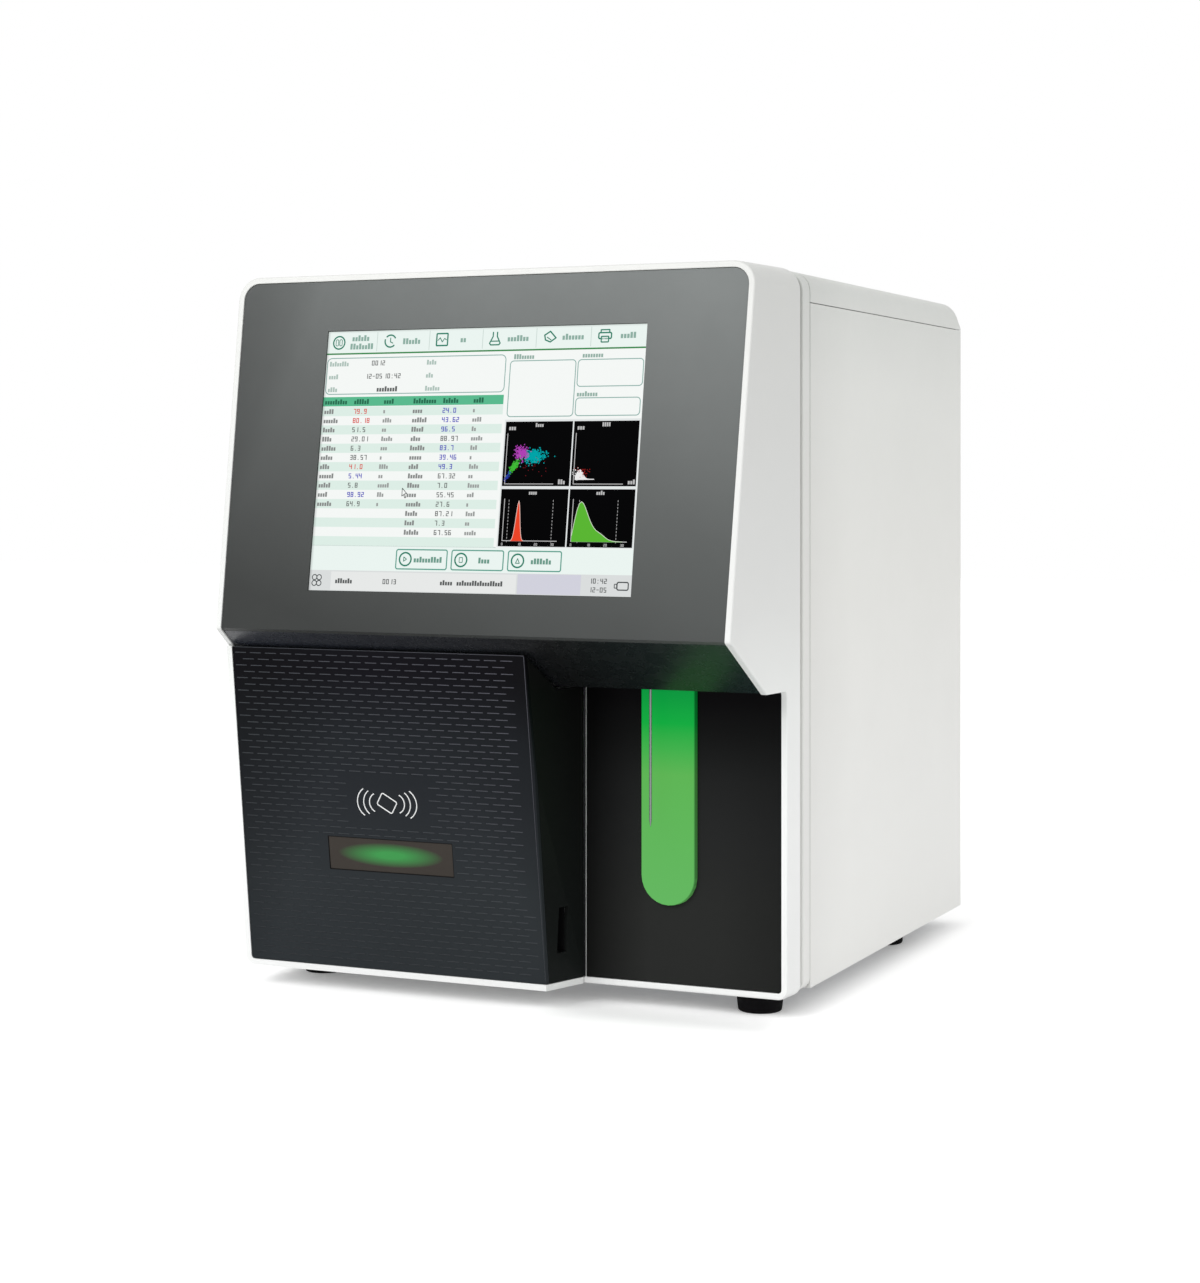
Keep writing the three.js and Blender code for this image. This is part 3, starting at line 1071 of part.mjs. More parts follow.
function makeSyringe() {
  const depth = SEAT_ON_BULKHEAD - SYRINGE_LUG;
  const bottom = SYRINGE_RISE;
  const top = bottom + PISTON_START + PISTON_HEAD + PISTON_TRAVEL + PISTON_END_GAP + SYRINGE_WALL;
  const inner = SYRINGE_RADIUS - SYRINGE_WALL;
  const tube = rod('z', SYRINGE_X, depth, SYRINGE_RADIUS, bottom, top, ROUND_SIDES);
  const lug = box(SYRINGE_X - SYRINGE_RADIUS / 2, SYRINGE_X + SYRINGE_RADIUS / 2, depth, SEAT_ON_BULKHEAD,
    bottom + SYRINGE_WALL, top - SYRINGE_WALL);
  const bore = rod('z', SYRINGE_X, depth, inner, bottom - OVERRUN, top - SYRINGE_WALL, ROUND_SIDES);
  const nozzle = rod('z', SYRINGE_X, depth, SYRINGE_NOZZLE, bottom, top + OVERRUN);
  addPiece('syringe_barrel', cut(join(tube, lug), bore, nozzle), CLEAR_PLASTIC);

  const driveBottom = PAN_TOP + GAP;
  const driveTop = driveBottom + DRIVE_HEIGHT;
  const drive = cut(
    box(SYRINGE_X - DRIVE_SIZE / 2, SYRINGE_X + DRIVE_SIZE / 2,
      depth - DRIVE_SIZE / 2, depth + DRIVE_SIZE / 2, driveBottom, driveTop),
    rod('z', SYRINGE_X, depth, PISTON_ROD + GAP, driveTop - DRIVE_BORE_DEPTH - GAP, driveTop + OVERRUN));
  addPiece('syringe_drive', drive, ENGINE_BLACK);

  const headBottom = bottom + PISTON_START;
  const piston = join(
    rod('z', SYRINGE_X, depth, PISTON_ROD, driveTop - DRIVE_BORE_DEPTH, headBottom + PISTON_HEAD),
    rod('z', SYRINGE_X, depth, inner - GAP, headBottom, headBottom + PISTON_HEAD, ROUND_SIDES));
  addPiece('syringe_piston', piston, BARE_STEEL);
}

function makeValveBlock() {
  const rear = SEAT_ON_BULKHEAD;
  const width = VALVE_COUNT * VALVE_PITCH;
  const manifold = box(VALVE_X - width / 2, VALVE_X + width / 2, rear - MANIFOLD_DEPTH, rear,
    VALVE_Z, VALVE_Z + MANIFOLD_HEIGHT);
  const valves = [];
  for (let i = 0; i < VALVE_COUNT; i++) {
    const x = VALVE_X + (i - (VALVE_COUNT - 1) / 2) * VALVE_PITCH;
    valves.push(rod('z', x, rear - MANIFOLD_DEPTH / 2, VALVE_RADIUS, VALVE_Z + MANIFOLD_HEIGHT / 2,
      VALVE_Z + MANIFOLD_HEIGHT + VALVE_LENGTH));
  }
  addPiece('valve_block', join(manifold, ...valves), CLEAR_PLASTIC);
}

makeBulkhead();
makeReactionBath();
makePump();
makeSyringe();
makeValveBlock();

// Modules behind the inner plate

function makeMainBoard() {
  const front = BULKHEAD_REAR + GAP + STANDOFF;
  const left = BOARD_X - BOARD_WIDTH / 2;
  const right = BOARD_X + BOARD_WIDTH / 2;
  const top = BOARD_Z + BOARD_HEIGHT;
  const board = box(left, right, front, front + BOARD_WALL, BOARD_Z, top);
  const inset = 2 * STANDOFF_RADIUS;
  const posts = [[left + inset, BOARD_Z + inset], [right - inset, BOARD_Z + inset],
    [left + inset, top - inset], [right - inset, top - inset]].map(([x, z]) =>
    rod('y', x, z, STANDOFF_RADIUS, BULKHEAD_REAR + GAP, front + BOARD_WALL / 2));
  const chips = [-1, 0, 1].map((i) => {
    const x = BOARD_X + i * 2 * CHIP_SIZE;
    const z = BOARD_Z + BOARD_HEIGHT / 2;
    return box(x - CHIP_SIZE / 2, x + CHIP_SIZE / 2, front, front + BOARD_WALL + CHIP_HEIGHT,
      z - CHIP_SIZE / 2, z + CHIP_SIZE / 2);
  });
  addPiece('main_board', join(board, ...posts, ...chips), BOARD_GREEN);
}

function makePowerSupply() {
  const rear = REAR_INNER - SUPPLY_REAR_CLEARANCE;
  const bottom = PAN_TOP + GAP;
  const left = SUPPLY_X - SUPPLY_WIDTH / 2;
  const right = SUPPLY_X + SUPPLY_WIDTH / 2;
  const supply = box(left, right, rear - SUPPLY_LENGTH, rear, bottom, bottom + SUPPLY_HEIGHT);
  addPiece('power_supply', supply, ZINC_STEEL);
}

function makeOpticalBench() {
  const bottom = PAN_TOP + GAP;
  const plateBottom = bottom + OPTICS_LEG_HEIGHT;
  const plateTop = plateBottom + OPTICS_PLATE;
  const left = OPTICS_X - OPTICS_WIDTH / 2;
  const right = OPTICS_X + OPTICS_WIDTH / 2;
  const front = OPTICS_DEPTH - OPTICS_LENGTH / 2;
  const rear = OPTICS_DEPTH + OPTICS_LENGTH / 2;
  const plate = box(left, right, front, rear, plateBottom, plateTop);
  const legInset = OPTICS_LEG_RADIUS + SHEET;
  const legs = [];
  for (const x of [left + legInset, right - legInset]) {
    for (const y of [front + legInset, rear - legInset]) {
      legs.push(rod('z', x, y, OPTICS_LEG_RADIUS, bottom, plateTop));
    }
  }
  const laser = rod('x', OPTICS_DEPTH, plateTop + LASER_RADIUS - SHEET, LASER_RADIUS,
    left + legInset, left + legInset + LASER_LENGTH);
  const cell = box(OPTICS_X - FLOW_CELL_SIZE / 2, OPTICS_X + FLOW_CELL_SIZE / 2,
    OPTICS_DEPTH - FLOW_CELL_SIZE / 2, OPTICS_DEPTH + FLOW_CELL_SIZE / 2,
    plateTop - SHEET, plateTop + FLOW_CELL_HEIGHT);
  const detector = box(right - legInset - DETECTOR_WIDTH, right - legInset,
    OPTICS_DEPTH - DETECTOR_WIDTH / 2, OPTICS_DEPTH + DETECTOR_WIDTH / 2,
    plateTop - SHEET, plateTop + DETECTOR_HEIGHT);
  addPiece('optical_bench', join(plate, ...legs, laser, cell, detector), ANODISED);
}

makeMainBoard();
makePowerSupply();
makeOpticalBench();

// Rear fittings

function makeFan() {
  const rear = REAR_INNER - GAP;
  const front = rear - FAN_DEPTH;
  const half = FAN_SIZE / 2;
  const ring = prism('y', rectangle(FAN_X - half, FAN_X + half, FAN_Z - half, FAN_Z + half), front, rear,
    [circle(FAN_X, FAN_Z, FAN_BORE)]);
  const motorSeat = rod('y', FAN_X, FAN_Z, FAN_HUB, front, front + FAN_BACK, ROUND_SIDES);
  const spokes = [0, 1, 2, 3].map((i) => {
    const spoke = prismGeometry('y', rectangle(0, half - SHEET, -FAN_SPOKE / 2, FAN_SPOKE / 2),
      front, front + FAN_BACK);
    return solidOf(spoke.rotateY((i * Math.PI) / 2 + Math.PI / 4).translate(FAN_X, 0, FAN_Z));
  });
  const shaftBore = rod('y', FAN_X, FAN_Z, SHAFT_RADIUS + GAP, front - OVERRUN, front + FAN_BACK + OVERRUN);
  addPiece('fan_frame', cut(join(ring, motorSeat, ...spokes), shaftBore), ENGINE_BLACK);

  const bladeFront = front + FAN_BACK + GAP + SHEET;
  const bladeRear = rear - SHEET;
  const hub = rod('y', FAN_X, FAN_Z, FAN_HUB, bladeFront, bladeRear, ROUND_SIDES);
  const shaft = rod('y', FAN_X, FAN_Z, SHAFT_RADIUS, front, bladeRear);
  const blades = [];
  for (let i = 0; i < FAN_BLADES; i++) {
    const blade = prismGeometry('x', rectangle(-FAN_BLADE_WIDTH / 2, FAN_BLADE_WIDTH / 2,
      -FAN_BLADE_WALL / 2, FAN_BLADE_WALL / 2), FAN_HUB / 2, FAN_BLADE_REACH - SHEET);
    blade.rotateX(FAN_BLADE_TWIST).rotateY((i * 2 * Math.PI) / FAN_BLADES);
    blades.push(solidOf(blade.translate(FAN_X, (bladeFront + bladeRear) / 2, FAN_Z)));
  }
  addPiece('fan_rotor', join(hub, shaft, ...blades), ENGINE_BLACK);

  const guardFront = REAR_FACE + GAP;
  const guardRear = guardFront + GUARD_WIRE;
  const rings = [];
  for (let i = 0; i < GUARD_RINGS; i++) {
    const radius = FAN_BORE * ((i + 1) / GUARD_RINGS) + GUARD_WIRE;
    rings.push(prism('y', circle(FAN_X, FAN_Z, radius), guardFront, guardRear,
      [circle(FAN_X, FAN_Z, radius - GUARD_WIRE)]));
  }
  const reach = FAN_BORE + 2 * GUARD_WIRE;
  const bars = [0, 1].map((i) => {
    const bar = prismGeometry('y', rectangle(-reach, reach, -GUARD_WIRE / 2, GUARD_WIRE / 2),
      guardFront, guardRear);
    return solidOf(bar.rotateY((i * Math.PI) / 2 + Math.PI / 4).translate(FAN_X, 0, FAN_Z));
  });
  addPiece('fan_guard', join(rings[0], ...rings.slice(1), ...bars), BARE_STEEL);
}

const ROCKER_Z = INLET_Z + INLET_HEIGHT / 2 - ROCKER_RADIUS - ROCKER_MARGIN;
const SOCKET_Z = INLET_Z - INLET_HEIGHT / 2 + SOCKET_HEIGHT / 2 + ROCKER_MARGIN;
const ROCKER_DEPTH = REAR_FACE + GAP + INLET_FLANGE_WALL - ROCKER_SINK;

function makePowerInlet() {
  const flangeFront = REAR_FACE + GAP;
  const flangeRear = flangeFront + INLET_FLANGE_WALL;
  const block = (border, from) => box(
    INLET_X - INLET_WIDTH / 2 - border, INLET_X + INLET_WIDTH / 2 + border, from, flangeRear,
    INLET_Z - INLET_HEIGHT / 2 - border, INLET_Z + INLET_HEIGHT / 2 + border);
  const flange = block(INLET_FLANGE, flangeFront);
  const body = block(0, REAR_FACE - INLET_DEPTH);
  const socket = box(INLET_X - SOCKET_WIDTH / 2, INLET_X + SOCKET_WIDTH / 2, flangeRear - SOCKET_DEPTH,
    flangeRear + OVERRUN, SOCKET_Z - SOCKET_HEIGHT / 2, SOCKET_Z + SOCKET_HEIGHT / 2);
  const blades = [-1, 0, 1].map((i) => {
    const x = INLET_X + i * BLADE_PITCH;
    const z = SOCKET_Z + (i === 0 ? BLADE_HEIGHT / 2 : -BLADE_HEIGHT / 2);
    return box(x - BLADE_WIDTH / 2, x + BLADE_WIDTH / 2, flangeRear - SOCKET_DEPTH - SHEET,
      flangeRear - SOCKET_DEPTH + BLADE_LENGTH, z - BLADE_HEIGHT / 2, z + BLADE_HEIGHT / 2);
  });
  const pocket = box(
    INLET_X - ROCKER_WIDTH / 2 - ROCKER_CLEARANCE, INLET_X + ROCKER_WIDTH / 2 + ROCKER_CLEARANCE,
    ROCKER_DEPTH - ROCKER_RADIUS - ROCKER_CLEARANCE, flangeRear + OVERRUN,
    ROCKER_Z - ROCKER_RADIUS - ROCKER_CLEARANCE, ROCKER_Z + ROCKER_RADIUS + ROCKER_CLEARANCE);
  addPiece('power_inlet', join(cut(join(flange, body), socket, pocket), ...blades), ENGINE_BLACK);

  const edgeTurn = Math.acos(ROCKER_EDGE / ROCKER_RADIUS) / (2 * Math.PI);
  const rocker = prismGeometry('x', [
    ...arc(0, 0, ROCKER_RADIUS, edgeTurn, 1 - edgeTurn, ROUND_SIDES / 2),
    [ROCKER_EDGE - ROCKER_DIP, 0],
  ], INLET_X - ROCKER_WIDTH / 2, INLET_X + ROCKER_WIDTH / 2);
  rocker.rotateX(ROCKER_TILT).translate(0, ROCKER_DEPTH, ROCKER_Z);
  addPiece('power_rocker', solidOf(rocker), RUBBER_BLACK);
}

function makePorts() {
  const flangeFront = REAR_FACE + GAP;
  const flangeRear = flangeFront + PORTS_FLANGE_WALL;
  const block = (border, from) => box(
    PORTS_X - PORTS_WIDTH / 2 - border, PORTS_X + PORTS_WIDTH / 2 + border, from, flangeRear,
    PORTS_Z - PORTS_HEIGHT / 2 - border, PORTS_Z + PORTS_HEIGHT / 2 + border);
  const flange = block(PORTS_FLANGE, flangeFront);
  const body = block(0, REAR_FACE - PORTS_DEPTH);
  const sizes = [[USB_WIDTH, USB_HEIGHT], [USB_WIDTH, USB_HEIGHT], [LAN_WIDTH, LAN_HEIGHT]];
  const sockets = sizes.map(([width, height], i) => {
    const x = PORTS_X + (i - (sizes.length - 1) / 2) * PORT_PITCH;
    return box(x - width / 2, x + width / 2, flangeRear - PORT_DEPTH, flangeRear + OVERRUN,
      PORTS_Z - height / 2, PORTS_Z + height / 2);
  });
  addPiece('data_ports', cut(join(flange, body), ...sockets), INNER_GREY);
}

function makeFluidPorts() {
  const front = REAR_FACE + GAP;
  const rear = front + FLUID_PLATE;
  const plate = box(FLUID_X - FLUID_WIDTH / 2, FLUID_X + FLUID_WIDTH / 2, front, rear,
    FLUID_Z - FLUID_HEIGHT / 2, FLUID_Z + FLUID_HEIGHT / 2);
  const parts = [];
  const bores = [];
  for (let i = 0; i < FLUID_COUNT; i++) {
    const x = FLUID_X + (i - (FLUID_COUNT - 1) / 2) * FLUID_PITCH;
    const tip = rear + FLUID_NUT_WALL;
    parts.push(rod('y', x, FLUID_Z, FLUID_NUT, front, tip, NUT_SIDES));
    parts.push(rod('y', x, FLUID_Z, FLUID_NIPPLE, front - FLUID_TAIL, tip));
    bores.push(rod('y', x, FLUID_Z, FLUID_BORE, tip - FLUID_BORE_DEPTH, tip + OVERRUN));
  }
  addPiece('fluid_ports', cut(join(plate, ...parts), ...bores), ZINC_STEEL);
}

makeFan();
makePowerInlet();
makePorts();
makeFluidPorts();

// Origin at the centre of the footprint, on the table
const extent = new THREE.Box3().setFromObject(analyzer, true);
const centre = extent.getCenter(new THREE.Vector3());
analyzer.position.set(-centre.x, -centre.y, -extent.min.z);
analyzer.updateMatrixWorld(true);

export default analyzer;
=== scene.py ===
# Looks of the bench-top hematology analyzer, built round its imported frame.
#
# Shapes are worked out in millimetres: X to the right, depth behind the lip under the screen,
# and height above the table. to_frame() turns them into the frame's metres.
import math

import bpy
import numpy as np
from mathutils import Matrix, Vector

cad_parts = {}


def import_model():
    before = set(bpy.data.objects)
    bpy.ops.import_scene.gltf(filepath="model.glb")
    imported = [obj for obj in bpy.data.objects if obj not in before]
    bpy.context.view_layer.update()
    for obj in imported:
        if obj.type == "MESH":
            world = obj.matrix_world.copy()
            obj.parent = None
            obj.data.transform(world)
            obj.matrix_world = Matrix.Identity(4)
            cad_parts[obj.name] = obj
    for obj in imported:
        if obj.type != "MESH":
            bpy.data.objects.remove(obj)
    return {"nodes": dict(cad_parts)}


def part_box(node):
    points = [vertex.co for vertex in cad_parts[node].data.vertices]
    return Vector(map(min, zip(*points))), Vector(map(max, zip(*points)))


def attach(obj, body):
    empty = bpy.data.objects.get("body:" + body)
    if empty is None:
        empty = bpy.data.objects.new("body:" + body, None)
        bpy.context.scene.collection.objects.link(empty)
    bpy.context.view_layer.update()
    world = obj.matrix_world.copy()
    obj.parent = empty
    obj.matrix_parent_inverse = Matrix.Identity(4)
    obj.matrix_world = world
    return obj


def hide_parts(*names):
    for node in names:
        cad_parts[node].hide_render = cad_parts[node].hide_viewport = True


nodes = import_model()["nodes"]
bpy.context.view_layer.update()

# Overall sizes, in millimetres
HALF_DEPTH = 213.5
BODY_HALF_WIDTH = 177
BODY_DEPTH = 427
TOTAL_HEIGHT = 440
BODY_TOP = 438.5
BODY_BOTTOM = 13.5
BASE_HEIGHT = 12

# Front housing
RIM = 3.8
TOP_CORNER = 14
BASE_CORNER = 6
LIP_HEIGHT = 224.2
BEZEL_LEAN = 0.155
CHIN_END = 47
SHOULDER_HEIGHT = 191.8
BAY_DEPTH = 74
HOUSING_DEPTH = 94
GAP = 0.3
UPRIGHT_X = 45.6

# Casing
BAND_FRONT = 95.8
BAND_REAR = 107.8
CASE_FRONT = 108.3
BODY_CORNER = 12
REAR_RADIUS = 14
COVER_SEAM = 420
SHEET = 1.5
REAR_FACE = 421.5

# Screen and door
SCREEN_SIZE = np.array((211.2, 158.4))
SCREEN_RISE = 24.8
GLASS_BACK = 1.5
DOOR_TOP_DEPTH = 14
DOOR_TOP_HEIGHT = 216
DOOR_LEAN = 0.1375
WINDOW_X = -64.5
WINDOW_Z = 87
MARK_Z = 119.7

# Sample station
KEY_X = 100.7
KEY_RADIUS = 17.2
KEY_BOTTOM = 62.7
KEY_TOP = 192
PROBE_X = 93.7
PROBE_DEPTH = 62

# Fineness, and the directions of a plane that faces the user and of one that faces back
STEPS = 7
REST = 0.35
FACING = (1, 0, 0), (0, 0, 1)
FACING_BACK = (-1, 0, 0), (0, 0, 1)
REAR_AXIS = (0, 1, 0)


# Working out shapes

def to_frame(points):
    """The same points in the frame: metres, with the origin in the middle of the footprint."""
    return (np.asarray(points, float) - (0, HALF_DEPTH, 0)) * 0.001


def extent(name):
    """Lowest corner, middle and highest corner of a node, in millimetres."""
    low, high = (np.array(corner) * 1000 + (0, HALF_DEPTH, 0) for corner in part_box(name))
    return low, (low + high) / 2, high


def half_width_at(depth):
    """Half the housing's width, which grows by 0.09 for each unit of depth."""
    return 176.76 - 0.09 * (HOUSING_DEPTH - depth)


def unit(vectors):
    return vectors / np.linalg.norm(vectors, axis=-1, keepdims=True)


def circle(sides):
    """Cosines and sines of evenly spread angles."""
    turn = np.linspace(0, 2 * math.pi, sides, endpoint=False)
    return np.cos(turn), np.sin(turn)


def quarter(radius, steps):
    """Rounded corner, as pairs of distances from its two sides: from (radius, 0) to (0, radius)."""
    turn = np.linspace(0, math.pi / 2, steps + 1)
    return radius * (1 - np.stack((np.sin(turn), np.cos(turn)), 1))


def rotation(angle):
    return np.array(((math.cos(angle), math.sin(angle)), (-math.sin(angle), math.cos(angle))))


def rounded_path(corners, radii, steps=STEPS, rest=REST):
    """Open line with its inner corners rounded. An arc of radius r that turns by w starts r tan(w/2)
    before its corner, and its points are (sin((1-k)w) a + sin(kw) b) / sin(w) for its end radii a
    and b. A rest point beside each end keeps the flats flat."""
    corners = np.asarray(corners, float)
    share = np.linspace(0, 1, steps + 1)[:, None]
    parts = [corners[:1]]
    for before, corner, after, radius in zip(corners, corners[1:], corners[2:], radii):
        a, b = unit(before - corner), unit(after - corner)
        turn = math.pi - math.acos(np.clip(a @ b, -1, 1))
        reach = radius * math.tan(turn / 2)
        centre = corner + unit(a + b) * radius / math.cos(turn / 2)
        first, last = corner + a * reach - centre, corner + b * reach - centre
        arc = (np.sin((1 - share) * turn) * first + np.sin(share * turn) * last) / math.sin(turn)
        parts += [[corner + a * (reach + rest)], centre + arc, [corner + b * (reach + rest)]]
    return np.concatenate(parts + [corners[-1:]])


def mirrored(half):
    """Closed outline from its right half, which starts in the middle below."""
    left = half[-2:0:-1].copy()
    left[:, 0] *= -1
    return np.concatenate((half, left))


def outline(half, bottom, top, lower, upper, inset=0.0):
    """Rounded rectangle about the middle, drawn in by `inset`."""
    h, b, t = half - inset, bottom + inset, top - inset
    return mirrored(rounded_path([(0, b), (h, b), (h, t), (0, t)],
                                 [max(lower - inset, 0.05), max(upper - inset, 0.05)]))


def quads(rows, columns, wrap_rows=False, wrap_columns=True):
    """Faces between neighbouring points of a grid stored row by row."""
    r, c = np.meshgrid(np.arange(rows - (not wrap_rows)), np.arange(columns - (not wrap_columns)),
                       indexing="ij")
    up, on = (r + 1) % rows, (c + 1) % columns
    corners = (r * columns + c, r * columns + on, up * columns + on, up * columns + c)
    return np.stack(corners, -1).reshape(-1, 4)


def closed_faces(rows, columns):
    """Faces between closed lines, with a flat cap at both ends."""
    line = np.arange(columns)
    return [quads(rows, columns), np.stack((line[::-1], line + (rows - 1) * columns))]


def repeated(many, count, faces):
    """Faces of many copies of a form that has `count` points."""
    start = np.arange(many)[:, None, None] * count
    return [(f[None] + start).reshape(-1, f.shape[1]) for f in faces]


def outward(points, faces):
    """The same closed form with its faces turned out: its signed volume is made positive."""
    volume = sum(np.einsum("ij,ij->i", points[f[:, 0]],
                           np.cross(points[f[:, k]], points[f[:, k + 1]])).sum()
                 for f in faces for k in range(1, f.shape[1] - 1))
    return points, [f[:, ::-1] for f in faces] if volume < 0 else faces


def ring(loops):
    """Closed lines joined each to the next, and the last to the first."""
    loops = np.asarray(loops, float)
    return outward(loops.reshape(-1, 3), [quads(*loops.shape[:2], True)])


def capped(loops):
    """Closed lines joined each to the next, with a flat cap at both ends."""
    loops = np.asarray(loops, float)
    return outward(loops.reshape(-1, 3), closed_faces(*loops.shape[:2]))


def block(low, high):
    """Plain box between two corners."""
    (x0, y0, z0), (x1, y1, z1) = low, high
    return capped([[(x0, y0, z), (x1, y0, z), (x1, y1, z), (x0, y1, z)] for z in (z0, z1)])


def turned(profile, centre, axis=(0, 0, 1), sides=48):
    """Form turned about an axis, from a profile of (radius, distance along it) that ends on it."""
    profile, axis = np.asarray(profile, float), np.asarray(axis, float)
    across = unit(np.cross(axis, (0.3, 0.2, 0.9)))
    cos, sin = circle(sides)
    radial = cos[:, None] * across + sin[:, None] * np.cross(axis, across)
    rings = profile[1:-1, 0, None, None] * radial + profile[1:-1, 1, None, None] * axis
    poles = profile[[0, -1], 1, None] * axis
    rows = len(profile) - 2
    here, pole = np.arange(sides), np.full(sides, rows * sides)
    on, last = (here + 1) % sides, (rows - 1) * sides
    caps = np.concatenate((np.stack((pole, on, here), 1), np.stack((pole + 1, here + last, on + last), 1)))
    return outward(np.concatenate((rings.reshape(-1, 3), poles)) + centre, [quads(rows, sides), caps])


def tube(path, radius, closed=False, sides=10):
    """Round wire along a path. Its rings stand square to the path, on a frame built from its direction
    and the one in which it spreads least."""
    path = np.asarray(path, float)
    along = unit(np.roll(path, -1, 0) - np.roll(path, 1, 0) if closed else np.gradient(path, axis=0))
    side = unit(np.cross(along, np.linalg.svd(path - path.mean(0))[2][-1]))
    cos, sin = (values[:, None] for values in circle(sides))
    loops = path[:, None] + radius * (cos * side[:, None] + sin * np.cross(along, side)[:, None])
    return ring(loops) if closed else capped(loops)


def together(*forms):
    """Several forms as one."""
    points, faces = zip(*forms)
    starts = np.cumsum([0, *map(len, points)])
    return np.concatenate(points), [f + start for group, start in zip(faces, starts) for f in group]


def placed(form, origin, across, up):
    """A form drawn flat, as (across, up, out), laid on a plane."""
    turn = np.array((across, up, np.cross(across, up)), float)
    return outward(form[0] @ turn + origin, form[1])


def edge(radius, thickness, steps=4):
    """Profile of a plate's edge from its back to its front, with the front edge rounded."""
    front = [(b, thickness - a) for a, b in quarter(radius, steps)]
    return [(0.1, 0), (0, 0.1), (0, thickness - radius - 0.15), *front, (radius + 0.3, thickness)]


def plate(half, bottom, top, lower, upper, profile):
    """Rounded rectangle with shaped edges; the profile lists (inset, out) from back to front."""
    return capped([np.insert(outline(half, bottom, top, lower, upper, inset), 2, out, 1)
                   for inset, out in profile])


def lean_plane(depth, height, lean):
    """Origin, across and up of a plane that leans back by `lean` for each unit of height."""
    size = math.hypot(1, lean)
    return (0, depth, height), (1, 0, 0), (0, lean / size, 1 / size)


BEZEL_PLANE = lean_plane(0, LIP_HEIGHT, BEZEL_LEAN)
DOOR_PLANE = lean_plane(DOOR_TOP_DEPTH, DOOR_TOP_HEIGHT, -DOOR_LEAN)


def up_door(height):
    """Distance along the door's front, from its reference height to another height."""
    return (height - DOOR_TOP_HEIGHT) * math.hypot(1, DOOR_LEAN)


def added(name, data):
    made = bpy.data.objects.new(name, data)
    bpy.context.scene.collection.objects.link(made)
    return made


def shown(name, form, finish, body="casing", stands_for=()):
    """A piece of the object, made from a form."""
    points, faces = form
    mesh = bpy.data.meshes.new(name)
    mesh.from_pydata(to_frame(points).tolist(), [], [f for group in faces for f in group.tolist()])
    mesh.polygons.foreach_set("use_smooth", np.ones(len(mesh.polygons), bool))
    mesh.set_sharp_from_angle(angle=math.radians(35))
    mesh.materials.append(finish)
    made = added(name, mesh)
    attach(made, body)
    if stands_for:
        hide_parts(*stands_for)
    return made


# Finishes

def rgb(red, green, blue, share=1):
    """Colour written as 0 to 255, as linear light times a share."""
    c = np.array((red, green, blue)) / 255
    return (*np.minimum(np.where(c <= 0.04045, c / 12.92, ((c + 0.055) / 1.055) ** 2.4) * share, 1), 1.0)


def grey(level):
    return (level, level, level, 1)


def feed(node, inputs):
    """Give a node's inputs their values: an output is linked, and anything else is set."""
    for key, value in inputs.items():
        if isinstance(value, bpy.types.NodeSocket):
            node.id_data.links.new(value, node.inputs[key])
        else:
            node.inputs[key].default_value = value


def after(source, kind, inputs, **settings):
    """New node in the tree of the output `source`."""
    node = source.id_data.nodes.new("ShaderNode" + kind)
    for name, value in settings.items():
        setattr(node, name, value)
    feed(node, inputs)
    return node


def worked(kind, operation, *values):
    """Output of a Math or VectorMath node; some vector operations give a number instead."""
    node = after(values[0], kind, dict(enumerate(values)), operation=operation)
    return node.outputs[int(operation in ("DOT_PRODUCT", "DISTANCE", "LENGTH"))]


def new_material(name):
    """A material, its shader, and the place on the object in metres."""
    material = bpy.data.materials.new(name)
    material.use_nodes = True
    tree = material.node_tree
    return material, tree.nodes["Principled BSDF"], tree.nodes.new("ShaderNodeTexCoord").outputs["Object"]


def noise(place, scale, detail=2.0, stretch=None):
    if stretch:
        place = after(place, "Mapping", {"Vector": place, "Scale": stretch}).outputs[0]
    return after(place, "TexNoise", {"Vector": place, "Scale": scale, "Detail": detail}).outputs["Fac"]


def ranged(value, low, high, start=0.3, end=0.7):
    """A value between start and end, spread over low to high."""
    return after(value, "MapRange", {"Value": value, "From Min": start, "From Max": end,
                                     "To Min": low, "To Max": high}).outputs["Result"]


def blended(share, first, second):
    """Mix of two colours."""
    mix = after(share, "Mix", {"A": first, "B": second, "Factor": share}, data_type="RGBA")
    return mix.outputs["Result"]


def bumped(height, strength, distance):
    return after(height, "Bump", {"Height": height, "Strength": strength, "Distance": distance}).outputs[0]


def along(place, direction, low, high):
    """0 where the dot product of the place and a direction is low, and 1 where it is high."""
    return ranged(worked("VectorMath", "DOT_PRODUCT", place, direction), 0, 1, low, high)


def ramped(share, rows):
    """Colour of a ramp: a row is a position with a colour written as 0 to 255, or with a level."""
    stops = [(position, rgb(*colour) if colour[1:] else grey(*colour)) for position, *colour in rows]
    ramp = after(share, "ValToRGB", {"Fac": share})
    elements = ramp.color_ramp.elements
    for element, (position, colour) in zip(elements, (stops[0], stops[-1])):
        element.position, element.color = position, colour
    for position, colour in stops[1:-1]:
        elements.new(position).color = colour
    return ramp.outputs["Color"]


def multiplied(colour, share):
    """A colour output times a value output."""
    return after(colour, "VectorMath", {0: colour, "Scale": share}, operation="SCALE").outputs[0]


UP = ((0, 0, 1), 0, 1)
MOULDED = (14, 90, 0.04, 0.0002)
PRINTED = (20, 120, 0.03, 0.0001)


